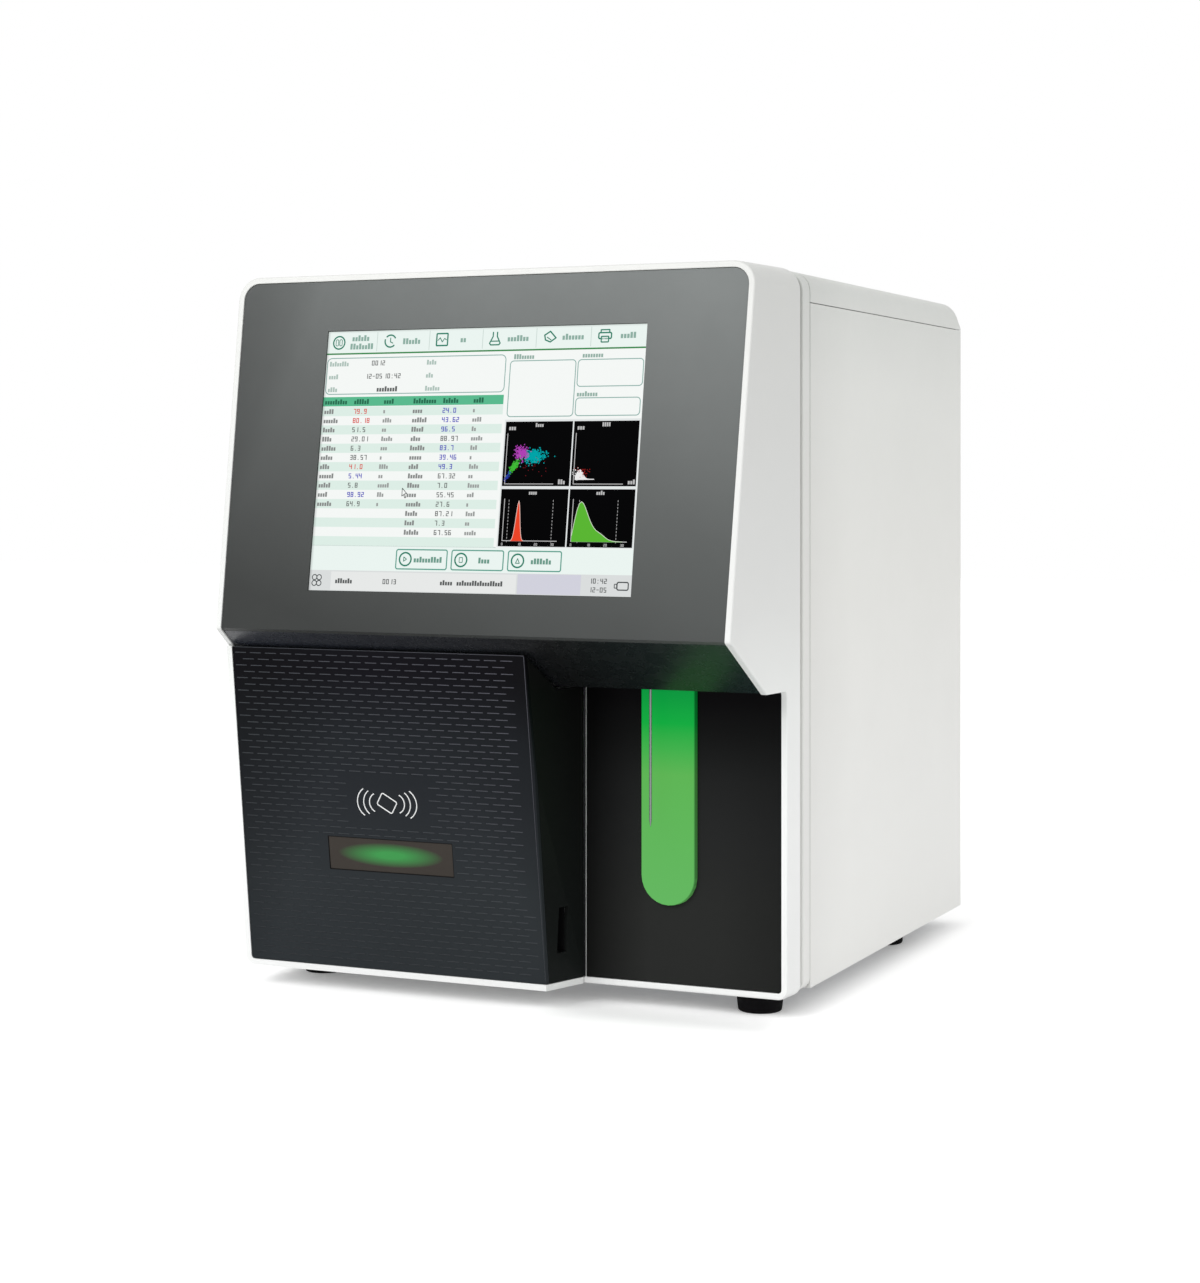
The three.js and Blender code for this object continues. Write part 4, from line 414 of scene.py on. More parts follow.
def coat(name, colour, roughness, grain=0.25, grain_scale=2400, specular=0.5, drift=0.03, run=UP,
         texture=MOULDED, painted_shades=()):
    """Moulded, painted or printed surface: soft clouds in the colour, uneven gloss and a fine grain.
    The colour is one colour, or the rows of a ramp along `run`: a direction and the places of 0 and
    1 on it; the finishes below use these ramps for painted light and shade. A painted shade is a run
    and the levels along it that the colour is multiplied by."""
    material, shader, place = new_material(name)
    cloud_scale, gloss_scale, wear, depth = texture
    clouds = noise(place, cloud_scale, 3)
    if isinstance(colour, tuple):
        tone = blended(clouds, rgb(*colour, 1 - drift), rgb(*colour, 1 + drift))
    else:
        tone = multiplied(ramped(along(place, *run), colour), ranged(clouds, 1 - drift, 1 + drift))
    for *shade_run, levels in painted_shades:
        tone = multiplied(tone, ramped(along(place, *shade_run), levels))
    gloss = ranged(noise(place, gloss_scale, 4), roughness - wear, roughness + wear)
    feed(shader, {"Base Color": tone, "Roughness": gloss, "Specular IOR Level": specular,
                  "Normal": bumped(noise(place, grain_scale), grain, depth)})
    return material


# Film finish whose colour ramp and shades are painted light and shade.
def film(name, rows, run, roughness, specular, grain=0.2, painted_shades=()):
    return coat(name, rows, roughness, grain, 3000, specular, run=run, texture=PRINTED, painted_shades=painted_shades)


def lit(shader, glow, strength, base, roughness, specular):
    """Give a shader its own light, over its base colour."""
    feed(shader, {"Emission Color": glow, "Emission Strength": strength, "Base Color": base,
                  "Roughness": roughness, "Specular IOR Level": specular})


def metal(name, colour, roughness, stretch=(8, 260, 260)):
    """Metal with fine drawn lines along X, or along another axis where `stretch` says so."""
    material, shader, place = new_material(name)
    lines = noise(place, 9, 4, stretch)
    feed(shader, {"Base Color": blended(lines, rgb(*colour, 0.86), rgb(*colour, 1.1)), "Metallic": 1,
                  "Roughness": ranged(lines, roughness - 0.08, roughness + 0.1),
                  "Normal": bumped(lines, 0.12, 0.0001)})
    return material


# Painted shade: the white housing is lighter near the bottom and darker towards the top.
housing_painted_shade_white = coat("housing_painted_shade_white", [
    (0.11, 250, 251, 250), (0.18, 244, 246, 244), (0.24, 230, 231, 229), (0.3, 225, 226, 224),
    (0.43, 217, 218, 215)], 0.38, grain=0.12, drift=0.008)
# Painted shade: the casing is lighter near the bottom, darker towards the top and darker towards its front
# edge.
casing_painted_shade_coat = coat("casing_powder_painted_shade", [
    (0.02, 252, 252, 249), (0.1, 248, 248, 245), (0.25, 240, 240, 236), (0.37, 234, 235, 231),
    (0.43, 221, 223, 219)], 0.5, grain=0.5, grain_scale=1300, drift=0.01,
    painted_shades=[((0, 1, 0), -0.106, -0.03, [(0, 0.91), (0.4, 0.955), (1, 1)])])
# Painted reflection: the bezel grows lighter towards the top right, and a painted shade darkens its left
# edge.
bezel_painted_reflection = film("bezel_painted_reflection", [(0, 51, 53, 52), (0.5, 84, 87, 86), (1, 117, 121, 120)],
                  ((0.075, 0, 0.21), 0.0407, 0.1004), 0.36, 0.15,
                  painted_shades=[((-1, 0, 0.35), 0.262, 0.31, [(0, 1), (0.35, 0.82), (1, 0.66)])])
# Painted shade: the door front darkens towards the top, under the chin, and towards its top corners.
door_black = film("door_black", [
    (0, 45, 49, 52), (0.35, 45, 49, 52), (0.6, 37, 40, 44), (0.79, 30, 33, 37), (1, 10, 9, 16)],
    ((0, 0, 1), 0, 0.2), 0.42, 0.05,
    painted_shades=[((-1, 0, 0.4), 0.16, 0.225, [(0, 1), (0.3, 0.82), (0.62, 0.66), (1, 0.5)]),
            ((1, 0, 0.6), 0.06, 0.145, [(0, 1), (0.3, 0.86), (0.75, 0.7), (1, 0.45)])])
# Painted reflection: lighter grey-blue at the chin's left and a green tint from the lit start key at its
# right.
chin_painted_reflection = film("chin_gloss_painted_reflection", [
    (0, 36, 39, 47), (0.5, 28, 30, 34), (0.65, 18, 19, 20), (1, 14, 30, 29)],
    ((1, 0, 0), -0.17, 0.17), 0.27, 0.4, grain=0.02)
# Painted shade: the sample panel darkens towards the top under the ceiling and towards its left and right
# edges.
panel_painted_shade = film("sample_panel_painted_shade", [
    (0, 42, 43, 42), (0.34, 41, 42, 41), (0.56, 36, 37, 37), (0.74, 30, 31, 31), (0.9, 13, 14, 14),
    (1, 3, 2, 4)], ((0, 0, 1), 0, 0.185), 0.4, 0.04,
    painted_shades=[((1, 0, 0), 0.047, 0.172, [(0, 0.33), (0.13, 0.58), (0.32, 1), (0.7, 0.95), (1, 0.65)])])
# Painted shade: the door's side darkens towards the top.
painted_shade_side = film("door_side_painted_shade", [(0, 24, 27, 26), (1, 16, 16, 16)], ((0, 0, 1), 0.02, 0.19), 0.42,
                  0.05)
# Painted highlight: a lighter grey for light caught on the edges of dashes and fine lines, brighter towards
# the top right.
painted_highlight_grey = film("dash_painted_highlight", [(0, 40, 43, 47), (0.45, 56, 60, 64), (1, 82, 82, 90)],
                 ((0.6, 0, 0.8), -0.06, 0.18), 0.35, 0.15)
mark_grey = coat("printed_mark", (246, 247, 247), 0.4, grain=0.05)
trim_black = coat("trim_black", (10, 10, 11), 0.5, specular=0.1)
inner_grey = coat("inner_grey_plastic", (201, 204, 204), 0.55)
module_black = coat("module_black", (32, 33, 34), 0.5)
rubber_black = coat("rubber_black", (13, 12, 14), 0.85, grain=0.6, specular=0.1)
bottle_plastic = coat("bottle_polyethylene", (233, 230, 220), 0.45)
cap_blue = coat("cap_blue", (47, 95, 158), 0.45)
board_green = coat("board_solder_mask", (31, 107, 63), 0.4, grain=0.15)
clear_acrylic = coat("clear_acrylic", (215, 226, 230), 0.12, grain=0.02)
bare_steel = metal("bare_steel", (190, 193, 196), 0.28, (260, 260, 8))
needle_steel = metal("needle_steel", (125, 128, 130), 0.35, (260, 260, 8))
brass = metal("brass", (205, 170, 96), 0.35)
zinc_steel = metal("zinc_steel", (165, 168, 172), 0.42)
anodised_grey = metal("anodised_grey", (84, 87, 93), 0.45)


# Casing

def side_line(depth, height, inward):
    """Line of the side view through (depth, height), as its unit normal and its distance."""
    normal = unit(np.array(inward, float))
    return (*normal, float(normal @ (depth, height)))


def crossing(first, second, back):
    """Where two lines of the side view cross, each moved back by `back` along its unit normal."""
    return np.linalg.solve(np.array((first[:2], second[:2])), (first[2] + back, second[2] + back))


BAY_LINE = side_line(BAY_DEPTH, 0, (1, 0))
CEILING_LINE = side_line(0, SHOULDER_HEIGHT, (0, 1))
CHIN_LINE = side_line(0, LIP_HEIGHT, (LIP_HEIGHT - SHOULDER_HEIGHT, CHIN_END))
BEZEL_LINE = side_line(0, LIP_HEIGHT, (1, -BEZEL_LEAN))


def housing_line(inset, back=0.0, depth=None):
    """One closed line round the front housing, drawn in by `inset`. In the side view it runs up the
    bay's edge, forward under the ceiling, up the chin to the lip and up beside the screen, all moved
    `back` into the wall. With a depth given, it is the outline at that depth."""
    turn = np.linspace(0, math.pi / 2, STEPS + 1)
    lower, upper = BASE_CORNER - inset, TOP_CORNER - inset
    start, end = BASE_HEIGHT + BASE_CORNER, TOTAL_HEIGHT - TOP_CORNER
    slant = back * math.hypot(1, BEZEL_LEAN)
    side = rounded_path(
        [(BAY_DEPTH + back, start), crossing(BAY_LINE, CEILING_LINE, back),
         crossing(CEILING_LINE, CHIN_LINE, back), crossing(CHIN_LINE, BEZEL_LINE, back),
         (BEZEL_LEAN * (end - LIP_HEIGHT) + slant, end)], [2.6 + back, 3.5 - back, 2.2 - back])
    low_z, high_z = start - lower * np.cos(turn), end + upper * np.sin(turn)
    if depth is None:
        low_d = np.full(STEPS + 1, BAY_DEPTH + back)
        high_d = BEZEL_LEAN * (high_z - LIP_HEIGHT) + slant
        side_d, side_z = side.T
    else:
        low_d = high_d = np.full(STEPS + 1, depth, float)
        side_d = np.full(len(side), depth, float)
        spread = [np.linspace(*ends, STEPS + 3) for ends in ((186, 193), (198, 206), (236, 246))]
        side_z = np.concatenate((side[:1, 1], *spread, side[-1:, 1]))
    low_x = half_width_at(low_d) - BASE_CORNER + lower * np.sin(turn)
    high_x = half_width_at(high_d) - TOP_CORNER + upper * np.cos(turn)
    x = np.concatenate(([0, low_x[0] - 1], low_x, half_width_at(side_d[1:-1]) - inset, high_x,
                        [high_x[-1] - 1, 0]))
    d, z = (np.concatenate((first[[0, 0]], first, middle[1:-1], last, last[[-1, -1]]))
            for first, middle, last in ((low_d, side_d, high_d), (low_z, side_z, high_z)))
    return mirrored(np.column_stack((x, d, z)))


def front_housing():
    """White shell, in lines from its soft rear edge over the outside, round the rim and back inside.
    The upright beside the door is a slim bar. On its front, a dark strip is painted shade and a fine
    light line is a painted highlight."""
    rear, rim, inner = 3.0, 0.9, 0.4
    lines = [housing_line(b, depth=HOUSING_DEPTH - a) for a, b in quarter(rear, 6)[::-1]]
    lines += [housing_line(0, depth=HOUSING_DEPTH - rear - REST), housing_line(0, rim + REST)]
    lines += [housing_line(b, a) for a, b in quarter(rim, 6)]
    lines += [housing_line(rim + 0.15), housing_line(RIM - inner - 0.15)]
    lines += [housing_line(RIM - a, b) for a, b in quarter(inner, 6)[:-1:2]]
    lines += [housing_line(RIM, inner + REST), housing_line(RIM, depth=HOUSING_DEPTH - 1),
              housing_line(RIM, depth=HOUSING_DEPTH)]
    upright = placed(plate(0.7, 14.1, 192.1, 0.1, 0.1, edge(0.3, 11.5)), (UPRIGHT_X, 85.6, 0), *FACING)
    shown("housing_shell", together(ring(lines), upright), housing_painted_shade_white,
          stands_for=("front_housing",))
    # Painted shade: a dark strip over the front of the white upright.
    shade_strip = placed(plate(0.69, 16.4, 191.4, 0.1, 0.1, edge(0.1, 0.45)), (UPRIGHT_X, 74.2, 0), *FACING)
    shown("upright_shade_strip", shade_strip, trim_black)
    # Painted highlight: a fine light line along the upright's edge.
    line = tube([(45.3, 73.8, z) for z in np.linspace(16.6, 191, 9)], 0.14, sides=6)
    shown("upright_highlight_line", line, painted_highlight_grey)


def band_line(inset, depth):
    flat = outline(BODY_HALF_WIDTH, BODY_BOTTOM, BODY_TOP, BASE_CORNER, BODY_CORNER, inset)
    return np.insert(flat, 1, depth, 1)


def tongue_line(inset, depth):
    flat = outline(half_width_at(depth), BASE_HEIGHT, TOTAL_HEIGHT, BASE_CORNER, TOP_CORNER, inset)
    return np.insert(flat, 1, depth, 1)


def trim_band():
    """Band behind the groove: lines go along the tongue that plugs into the housing, out over the
    rounded edges and back inside."""
    radius, tongue_front, wall = 0.9, 86.3, 6.6
    lines = [tongue_line(RIM + 2 * GAP, tongue_front), tongue_line(RIM + 2 * GAP, BAND_FRONT),
             band_line(radius + REST, BAND_FRONT)]
    lines += [band_line(a, BAND_FRONT + b) for a, b in quarter(radius, 4)]
    lines += [band_line(0, BAND_FRONT + radius + REST), band_line(0, BAND_REAR - radius - REST)]
    lines += [band_line(b, BAND_REAR - a) for a, b in quarter(radius, 4)]
    lines += [band_line(radius + REST, BAND_REAR), band_line(wall + 0.2, BAND_REAR),
              band_line(wall + 0.2, 97.6), tongue_line(wall, 97.4), tongue_line(wall, tongue_front)]
    shown("groove_band", ring(lines), casing_painted_shade_coat, stands_for=("trim_band",))


def top_cover():
    """Folded cover: a rounded arch at each depth, whose top follows a quarter circle down to the rear
    edge. The inside is the same arch, one sheet smaller."""
    foot = COVER_SEAM + 0.25
    hem = foot + 0.3

    def arch(depth, top, inset):
        half, crown = BODY_HALF_WIDTH - inset, top - inset
        radius = max(min(BODY_CORNER - inset, crown - foot - 0.2), 0.1)
        right = rounded_path([(half, foot), (half, crown), (0, crown)], [radius])
        return np.insert(np.concatenate((right, right[-2::-1] * (-1, 1))), 1, depth, 1)

    rear = BODY_DEPTH - SHEET
    outside = [(CASE_FRONT, BODY_TOP), (CASE_FRONT + 1, BODY_TOP), (BODY_DEPTH - REAR_RADIUS - 1, BODY_TOP)]
    outside += [(BODY_DEPTH - a, BODY_TOP - b) for a, b in quarter(REAR_RADIUS, 8)]
    inside = [(rear - a, BODY_TOP - b) for a, b in quarter(REAR_RADIUS - SHEET, 8)[::-1]]
    outside.append((BODY_DEPTH, hem))
    inside = [(rear, hem), *inside, (CASE_FRONT, BODY_TOP)]
    loops = np.array([arch(d, z, 0) for d, z in outside]
                     + [arch(d, max(z, hem + SHEET), SHEET) for d, z in inside])
    rows, columns = loops.shape[:2]
    start = np.arange(rows) * columns
    faces = [quads(rows, columns, True, False), start[None], start[None, ::-1] + columns - 1]
    shown("folded_top_cover", outward(loops.reshape(-1, 3), faces), casing_painted_shade_coat,
          stands_for=("top_cover",))


def foot(name):
    """Turned rubber foot: rounded rim, slightly hollow underneath."""
    _, (x, depth, _), (_, _, top) = extent(name)
    profile = rounded_path([(0, 1.0), (7, 1.0), (8.5, 0), (13, 0), (14.4, top), (0, top)],
                           [1.0, 0.8, 1.6, 0.8], 4, 0.1)
    shown(name + "_turned", turned(profile, (x, depth, 0), sides=56), rubber_black,
          stands_for=(name,))


front_housing()
trim_band()
top_cover()
for foot_name in ("front_left_foot", "front_right_foot", "rear_left_foot", "rear_right_foot"):
    foot(foot_name)


# Picture on the screen

INK = 0.03
# Places on the screen are in thousandths of its width and height, and this is one in millimetres
SHARE = SCREEN_SIZE / 1000
SEGMENTS = {"a": (0.05, 0, 0.57, 0.15), "b": (0.43, 0, 0.6, 0.53), "c": (0.43, 0.47, 0.6, 1),
            "d": (0.05, 0.85, 0.57, 1), "e": (0, 0.47, 0.17, 1), "f": (0, 0, 0.17, 0.53),
            "g": (0.05, 0.43, 0.57, 0.57), "p": (0.2, 0.84, 0.38, 1), "q": (0.2, 0.25, 0.38, 0.41)}
STROKES = "abcdef bc abged abgcd fgbc afgcd afgedc abc abcdefg abcdfg p pq g"
DIGITS = dict(zip("0123456789.:-", STROKES.split()))
MINT = rgb(240, 250, 246)
PAPER = rgb(250, 253, 251)
BAND_GREEN = rgb(92, 190, 146)
TEAL = rgb(48, 132, 108)
FRAME_TEAL = rgb(140, 178, 170)
INK_BLACK = rgb(34, 40, 40)
PLOT_BLACK = rgb(4, 4, 5)
PLOT_GREY = rgb(190, 190, 190)
STATUS_GREY = rgb(223, 226, 226)
ICON_GREY = rgb(70, 74, 76)
inks = []


def half_tone(first, second, share):
    return tuple(a + (b - a) * share for a, b in zip(first, second))


def prisms(outlines, layer, tint):
    """Thin raised inks: closed prisms one ink thick, whose outlines all have the same number of
    corners. A higher layer lies on a lower one."""
    outlines = np.asarray(outlines, float)
    many, corners = outlines.shape[:2]
    flat = (outlines - (500, 1000)) * SHARE * (1, -1) + (0, SCREEN_RISE)
    ends = (layer * INK - GLASS_BACK, (layer + 1) * INK - GLASS_BACK)
    points = np.concatenate([np.insert(flat, 2, out, 2) for out in ends], 1)
    faces = repeated(many, 2 * corners, closed_faces(2, corners))
    inks.append((points.reshape(-1, 3), faces, np.tile(tint, (many * 2 * corners, 1))))


def boxes(sides, layer, tint):
    """Rectangles given as (left, top, right, bottom)."""
    prisms(np.reshape(sides, (-1, 4))[:, [[0, 1], [0, 3], [2, 3], [2, 1]]], layer, tint)


def stroke(points, width, layer=2, tint=TEAL, closed=False):
    """Straight strokes of one width, in millimetres, from point to point."""
    points = np.reshape(points, (-1, 2))
    first = points if closed else points[:-1]
    last = np.roll(points, -1, 0) if closed else points[1:]
    way = unit((last - first) * SHARE)
    side = way[:, ::-1] * (-1, 1) * width / 2 / SHARE
    reach = way * width * 0.3 / SHARE
    prisms(np.stack((first - reach - side, first - reach + side,
                     last + reach + side, last + reach - side), 1), layer, tint)


def frame(left, top, right, bottom, radius, width, layer=2, tint=TEAL, fill=None):
    """Rounded box with an outline; the radius and the width are in millimetres."""
    wide, tall = (right - left, bottom - top) * SHARE
    flat = outline(wide / 2, -tall / 2, tall / 2, radius, radius) / SHARE
    flat += ((left + right) / 2, (top + bottom) / 2)
    if fill:
        prisms(flat[None, ::-1], layer, fill)
    stroke(flat, width, layer + 1, tint, True)


def numbers(rows, tall, layer, tint):
    """Numbers as (text, left, middle), of straight segments in cells 0.62 wide for each 1 of height."""
    for text, left, middle in rows:
        strokes = [np.array(SEGMENTS[key]) + (0.8 * i, 0, 0.8 * i, 0)
                   for i, letter in enumerate(text) for key in DIGITS[letter]]
        boxes(strokes * np.tile(tall / SHARE, 2) + (left, middle - tall / 2 / SHARE[1]) * 2, layer, tint)


def labels(rows, tall, layer, tint):
    """Rows of small blocks, some of them taller, where words would stand: (seed, letters, left, middle)."""
    wide, high = tall / SHARE
    for seed, letters, left, middle in rows:
        rise = np.where(np.random.default_rng(seed).random(letters) < 0.35, 0.5, 0.2) * high
        start = left + np.arange(letters) * 0.56 * wide
        low = np.full(letters, middle + 0.5 * high)
        boxes(np.stack((start, middle - rise, start + 0.42 * wide, low), 1), layer, tint)


def dots(seed, many, centre, spread, tilt, size, layer, tint):
    """Cloud of square dots: a round normal spread, stretched and turned into an ellipse."""
    cloud = np.random.default_rng(seed).normal(0, 1, (many, 2)) * spread
    spots = centre + cloud @ rotation(tilt) / SHARE
    half = size / 2 / SHARE
    boxes(np.concatenate((spots - half, spots + half), 1), layer, tint)


def hill(across, down, feet, layer, fill, crest=None):
    """Area from a curve down to the heights of its two feet, and a fine line along the curve."""
    curve = np.column_stack((across, down))
    prisms([np.concatenate((np.column_stack((across[[0, -1]], feet)), curve[::-1]))], layer, fill)
    if crest:
        stroke(curve, 0.35, layer + 1, crest)


def bell(x, middle, width):
    return np.exp(-((x - middle) / width) ** 2)


def disc(sides):
    """Closed line that shows as a circle 7.8 mm across."""
    return np.stack(circle(sides), 1) * (18.5, 24.5)


def toolbar():
    """Bar with six buttons, each an icon of fine lines beside a label."""
    boxes((0, 0, 1000, 88), 1, MINT)
    boxes((0, 85, 1000, 91), 2, rgb(60, 140, 80))
    boxes([(u - 1, 6, u + 1, 80) for u in (162, 331, 500, 667, 834)], 2, rgb(205, 220, 214))
    line = disc(24)
    stroke(line + (37, 44), 0.9, closed=True)
    for u in (31, 43):
        frame(u - 4, 32, u + 4, 56, 0.7, 0.45)
    stroke(line[3:14] * 0.95 + (205, 42), 0.9)
    stroke(line[15:23] * 0.95 + (205, 42), 0.9)
    stroke((205, 30, 205, 45, 213, 50), 0.6)
    frame(354, 18, 389, 64, 0.5, 0.9)
    stroke((358, 44, 365, 34, 372, 50, 379, 37, 385, 42), 0.55, 3, TEAL)
    stroke((532, 18, 532, 34, 522, 60, 526, 66, 551, 66, 555, 60, 545, 34, 545, 18), 0.8)
    stroke((527, 52, 550, 52), 0.7)
    stroke((692, 34, 709, 20, 727, 45, 710, 60, 695, 52), 0.85, closed=True)
    stroke((700, 42, 712, 52), 0.6)
    frame(857, 30, 895, 52, 0.8, 0.85)
    stroke((863, 30, 863, 19, 889, 19, 889, 30), 0.75)
    frame(865, 44, 887, 65, 0.4, 0.75, 3, TEAL, MINT)
    labels([(1, 6, 80, 28), (2, 8, 75, 60), (3, 6, 246, 44), (4, 2, 430, 42), (5, 7, 578, 43),
            (6, 7, 747, 42), (7, 5, 923, 41)], 3.6, 2, half_tone(TEAL, MINT, 0.3))


def results_table():
    """Rounded box with the sample's data over a striped table of results."""
    frame(4, 105, 577, 245, 3, 0.55, 1, FRAME_TEAL, PAPER)
    dark = half_tone(INK_BLACK, PAPER, 0.12)
    labels([(20, 8, 12, 127), (30, 4, 328, 127), (21, 4, 12, 177), (31, 3, 328, 177), (22, 4, 12, 227),
            (32, 6, 328, 227)], 3, 3, half_tone(TEAL, PAPER, 0.45))
    numbers([("0012", 150, 126), ("12-05", 132, 177), ("10:42", 192, 177)], 3, 3, dark)
    labels([(40, 8, 172, 227)], 3.2, 3, dark)

    boxes((0, 256, 578, 292), 1, BAND_GREEN)
    columns = (6, 102, 199, 294, 389, 485)
    heads = zip(range(50, 56), (9, 6, 4, 9, 6, 4), columns)
    labels([(*head, 275) for head in heads], 3.1, 2, half_tone(rgb(20, 84, 60), BAND_GREEN, 0.15))
    start, pitch = 294.5, (828 - 294.5) / 15
    stripes = [(0, top, 578, top + pitch) for top in start + pitch * np.arange(0, 15, 2)]
    boxes(stripes, 1, rgb(226, 243, 235))
    chance = np.random.default_rng(5)
    high_red, low_blue = rgb(222, 60, 50), rgb(60, 60, 190)
    for column, many, reds, blues in ((0, 11, (0, 1, 6), (7, 9)), (3, 14, (), (0, 1, 2, 4, 5, 6))):
        for i in range(many):
            middle = start + (i + 0.5) * pitch
            seed = 100 + 20 * column + i
            value = str(round(float(chance.uniform(1, 99)), 1 + i % 2))
            tint = high_red if i in reds else low_blue if i in blues else dark
            labels([(seed, 4 + (i * 5 + column) % 3, columns[column], middle)], 3, 3,
                   half_tone(dark, PAPER, 0.15))
            numbers([(value, columns[column + 1], middle)], 3, 3, tint)
            labels([(seed + 200, 1 + (i * 3) % 5, columns[column + 2], middle)], 2.8, 3,
                   half_tone(dark, PAPER, 0.25))
    boxes((0, 826, 585, 829), 1, rgb(196, 208, 204))
    arrow = (279, 608, 279, 638, 284, 632, 289, 645, 292, 643, 287, 630, 294, 628)
    stroke(arrow, 0.4, 4, INK_BLACK, True)


def plots():
    """Info boxes over two clouds of dots and two curves on black."""
    labels([(60, 8, 602, 113), (61, 8, 812, 112), (62, 8, 802, 257)], 3, 2, half_tone(TEAL, PAPER, 0.3))
    for sides in ((592, 129, 793, 339), (800, 129, 996, 229), (800, 272, 993, 338)):
        frame(*sides, 2.2, 0.55, 1, FRAME_TEAL, PAPER)
    boxes((587, 350, 999, 827), 1, rgb(232, 236, 236))
    boxes([(591, 358, 796, 599), (800, 358, 995, 599), (591, 610, 796, 823), (800, 610, 995, 823)], 2,
          PLOT_BLACK)
    for u in (599, 808):
        stroke((u, 403, u, 591, u + 148, 591), 0.45, 3, PLOT_GREY)
        labels([(u, 3, u + 3, 381), (u + 1, 3, u + 163, 583)], 2.8, 3, PLOT_GREY)
    labels([(1054, 4, 683, 371), (1256, 4, 885, 371), (1299, 4, 676, 623), (1503, 4, 880, 623)], 2.4, 3,
           PLOT_GREY)
    dots(1, 520, (685, 489), (3.5, 1.9), 0, 0.62, 3, rgb(0, 168, 172))
    dots(2, 300, (645, 478), (2.0, 2.0), 0, 0.58, 4, rgb(180, 66, 186))
    dots(3, 220, (625.5, 525), (0.8, 2.3), 0.6, 0.55, 5, rgb(66, 190, 56))
    dots(4, 60, (607, 562), (0.5, 1.4), 0.5, 0.5, 6, rgb(44, 58, 170))
    dots(5, 26, (690, 530), (6, 3), 0, 0.4, 6, rgb(140, 30, 40))
    across = np.linspace(812, 870, 12)
    hill(across, 572 - 36 * bell(across, 826, 13), (576, 575), 3, rgb(240, 240, 240))
    dots(6, 60, (826, 556), (1.8, 1.6), 0, 0.5, 4, rgb(240, 240, 240))
    dots(7, 34, (838, 548), (2.4, 1.6), 0.2, 0.45, 5, rgb(160, 30, 30))
    across = np.linspace(628, 667, 15)
    hill(across, 802 - 148 * bell(across, 647.5, 8.5), (803, 803), 4, rgb(240, 70, 40), rgb(235, 200, 190))
    across = np.linspace(813, 965, 26)
    share = (across - 808) / 29
    down = 802 - 146 * (share * np.exp(1 - share)) ** 2.1 - 12 * bell(across, 900, 20)
    hill(across, down, (803, 803), 4, rgb(92, 186, 52), rgb(215, 225, 205))
    for left, dashed in ((603, (616, 751)), (812, (830, 945))):
        stroke((left, 647, left, 802, left + 166, 802), 0.45, 3, PLOT_GREY)
        for u in dashed:
            boxes([(u, v, u + 1.8, v + 7) for v in 650 + 12.5 * np.arange(13)], 3,
                  half_tone(PLOT_GREY, PLOT_BLACK, 0.3))
        scale = [(text, left - 2 + 50 * i, 814.5) for i, text in enumerate(("0", "10", "20", "30"))]
        numbers(scale, 1.5, 3, PLOT_GREY)


def buttons_and_status():
    """Three outlined buttons over a grey status bar."""
    boxes((0, 829, 1000, 922), 1, MINT)
    line = disc(20)
    for i, (left, right, letters) in enumerate(((276, 436, 10), (451, 611, 4), (626, 787, 7))):
        frame(left, 840, right, 913, 1.2, 0.75, 2, rgb(96, 164, 146), MINT)
        stroke(line + (left + 29, 876), 0.95, 3, TEAL, True)
        labels([(70 + i, letters, left + 102 - 4.6 * letters, 877)], 3.4, 3, half_tone(TEAL, MINT, 0.15))
    stroke((300, 868, 309, 876, 300, 884), 0.5, 3, TEAL, True)
    frame(475, 867, 485, 885, 0.3, 0.45, 3)
    stroke((649, 885, 655, 868, 661, 885), 0.5, 3, TEAL, True)
    boxes((0, 922, 1000, 1000), 1, STATUS_GREY)
    boxes((659, 924, 850, 998), 2, rgb(214, 214, 226))
    boxes((70, 927, 655, 997), 2, rgb(236, 238, 237))
    for spot in ((16.5, 950), (31.5, 950), (16.5, 972), (31.5, 972)):
        stroke(0.4 * line + spot, 0.55, 2, ICON_GREY, True)
    dark = half_tone(INK_BLACK, STATUS_GREY, 0.12)
    labels([(80, 7, 85, 962), (81, 5, 420, 962), (82, 18, 472, 962)], 3, 3, dark)
    numbers([("0013", 238, 962)], 3, 3, dark)
    numbers([("10:42", 875, 945), ("12-05", 875, 977)], 2.9, 2, dark)
    frame(958, 948, 991, 976, 1, 0.7, 2, ICON_GREY)
    frame(950, 955, 957, 969, 0.4, 0.5, 2, ICON_GREY)


def screen_picture():
    """The lit picture: inks carry their colour as the attribute `tint`, which lights the surface. Painted
    shade darkens it a little at its left and top edges, where the bezel's recess shades it."""
    material, shader, place = new_material("screen_lit")
    tone = after(place, "Attribute", {}, attribute_name="tint").outputs["Color"]
    # Fine noise, then painted shade along the left and top edges.
    shares = [ranged(noise(place, 6000, 0), 0.985, 1.015),
              ranged(along(place, (1, 0, 0), -0.1062, -0.1038), 0.55, 1, 0, 1),
              ranged(along(place, (0, 0, 1), 0.4062, 0.4038), 0.55, 1, 0, 1)]
    for share in shares:
        tone = multiplied(tone, share)
    lit(shader, tone, 0.95, grey(0), 0.3, 0.005)
    boxes((0, 0, 1000, 1000), 0, PAPER)
    toolbar()
    results_table()
    plots()
    buttons_and_status()
    points, faces, tints = zip(*inks)
    form = placed(together(*zip(points, faces)), *BEZEL_PLANE)
    made = shown("screen_picture", form, material)
    attribute = made.data.color_attributes.new("tint", "FLOAT_COLOR", "POINT")
    attribute.data.foreach_set("color", np.concatenate(tints).astype(np.float32).ravel())


screen_picture()


# Door

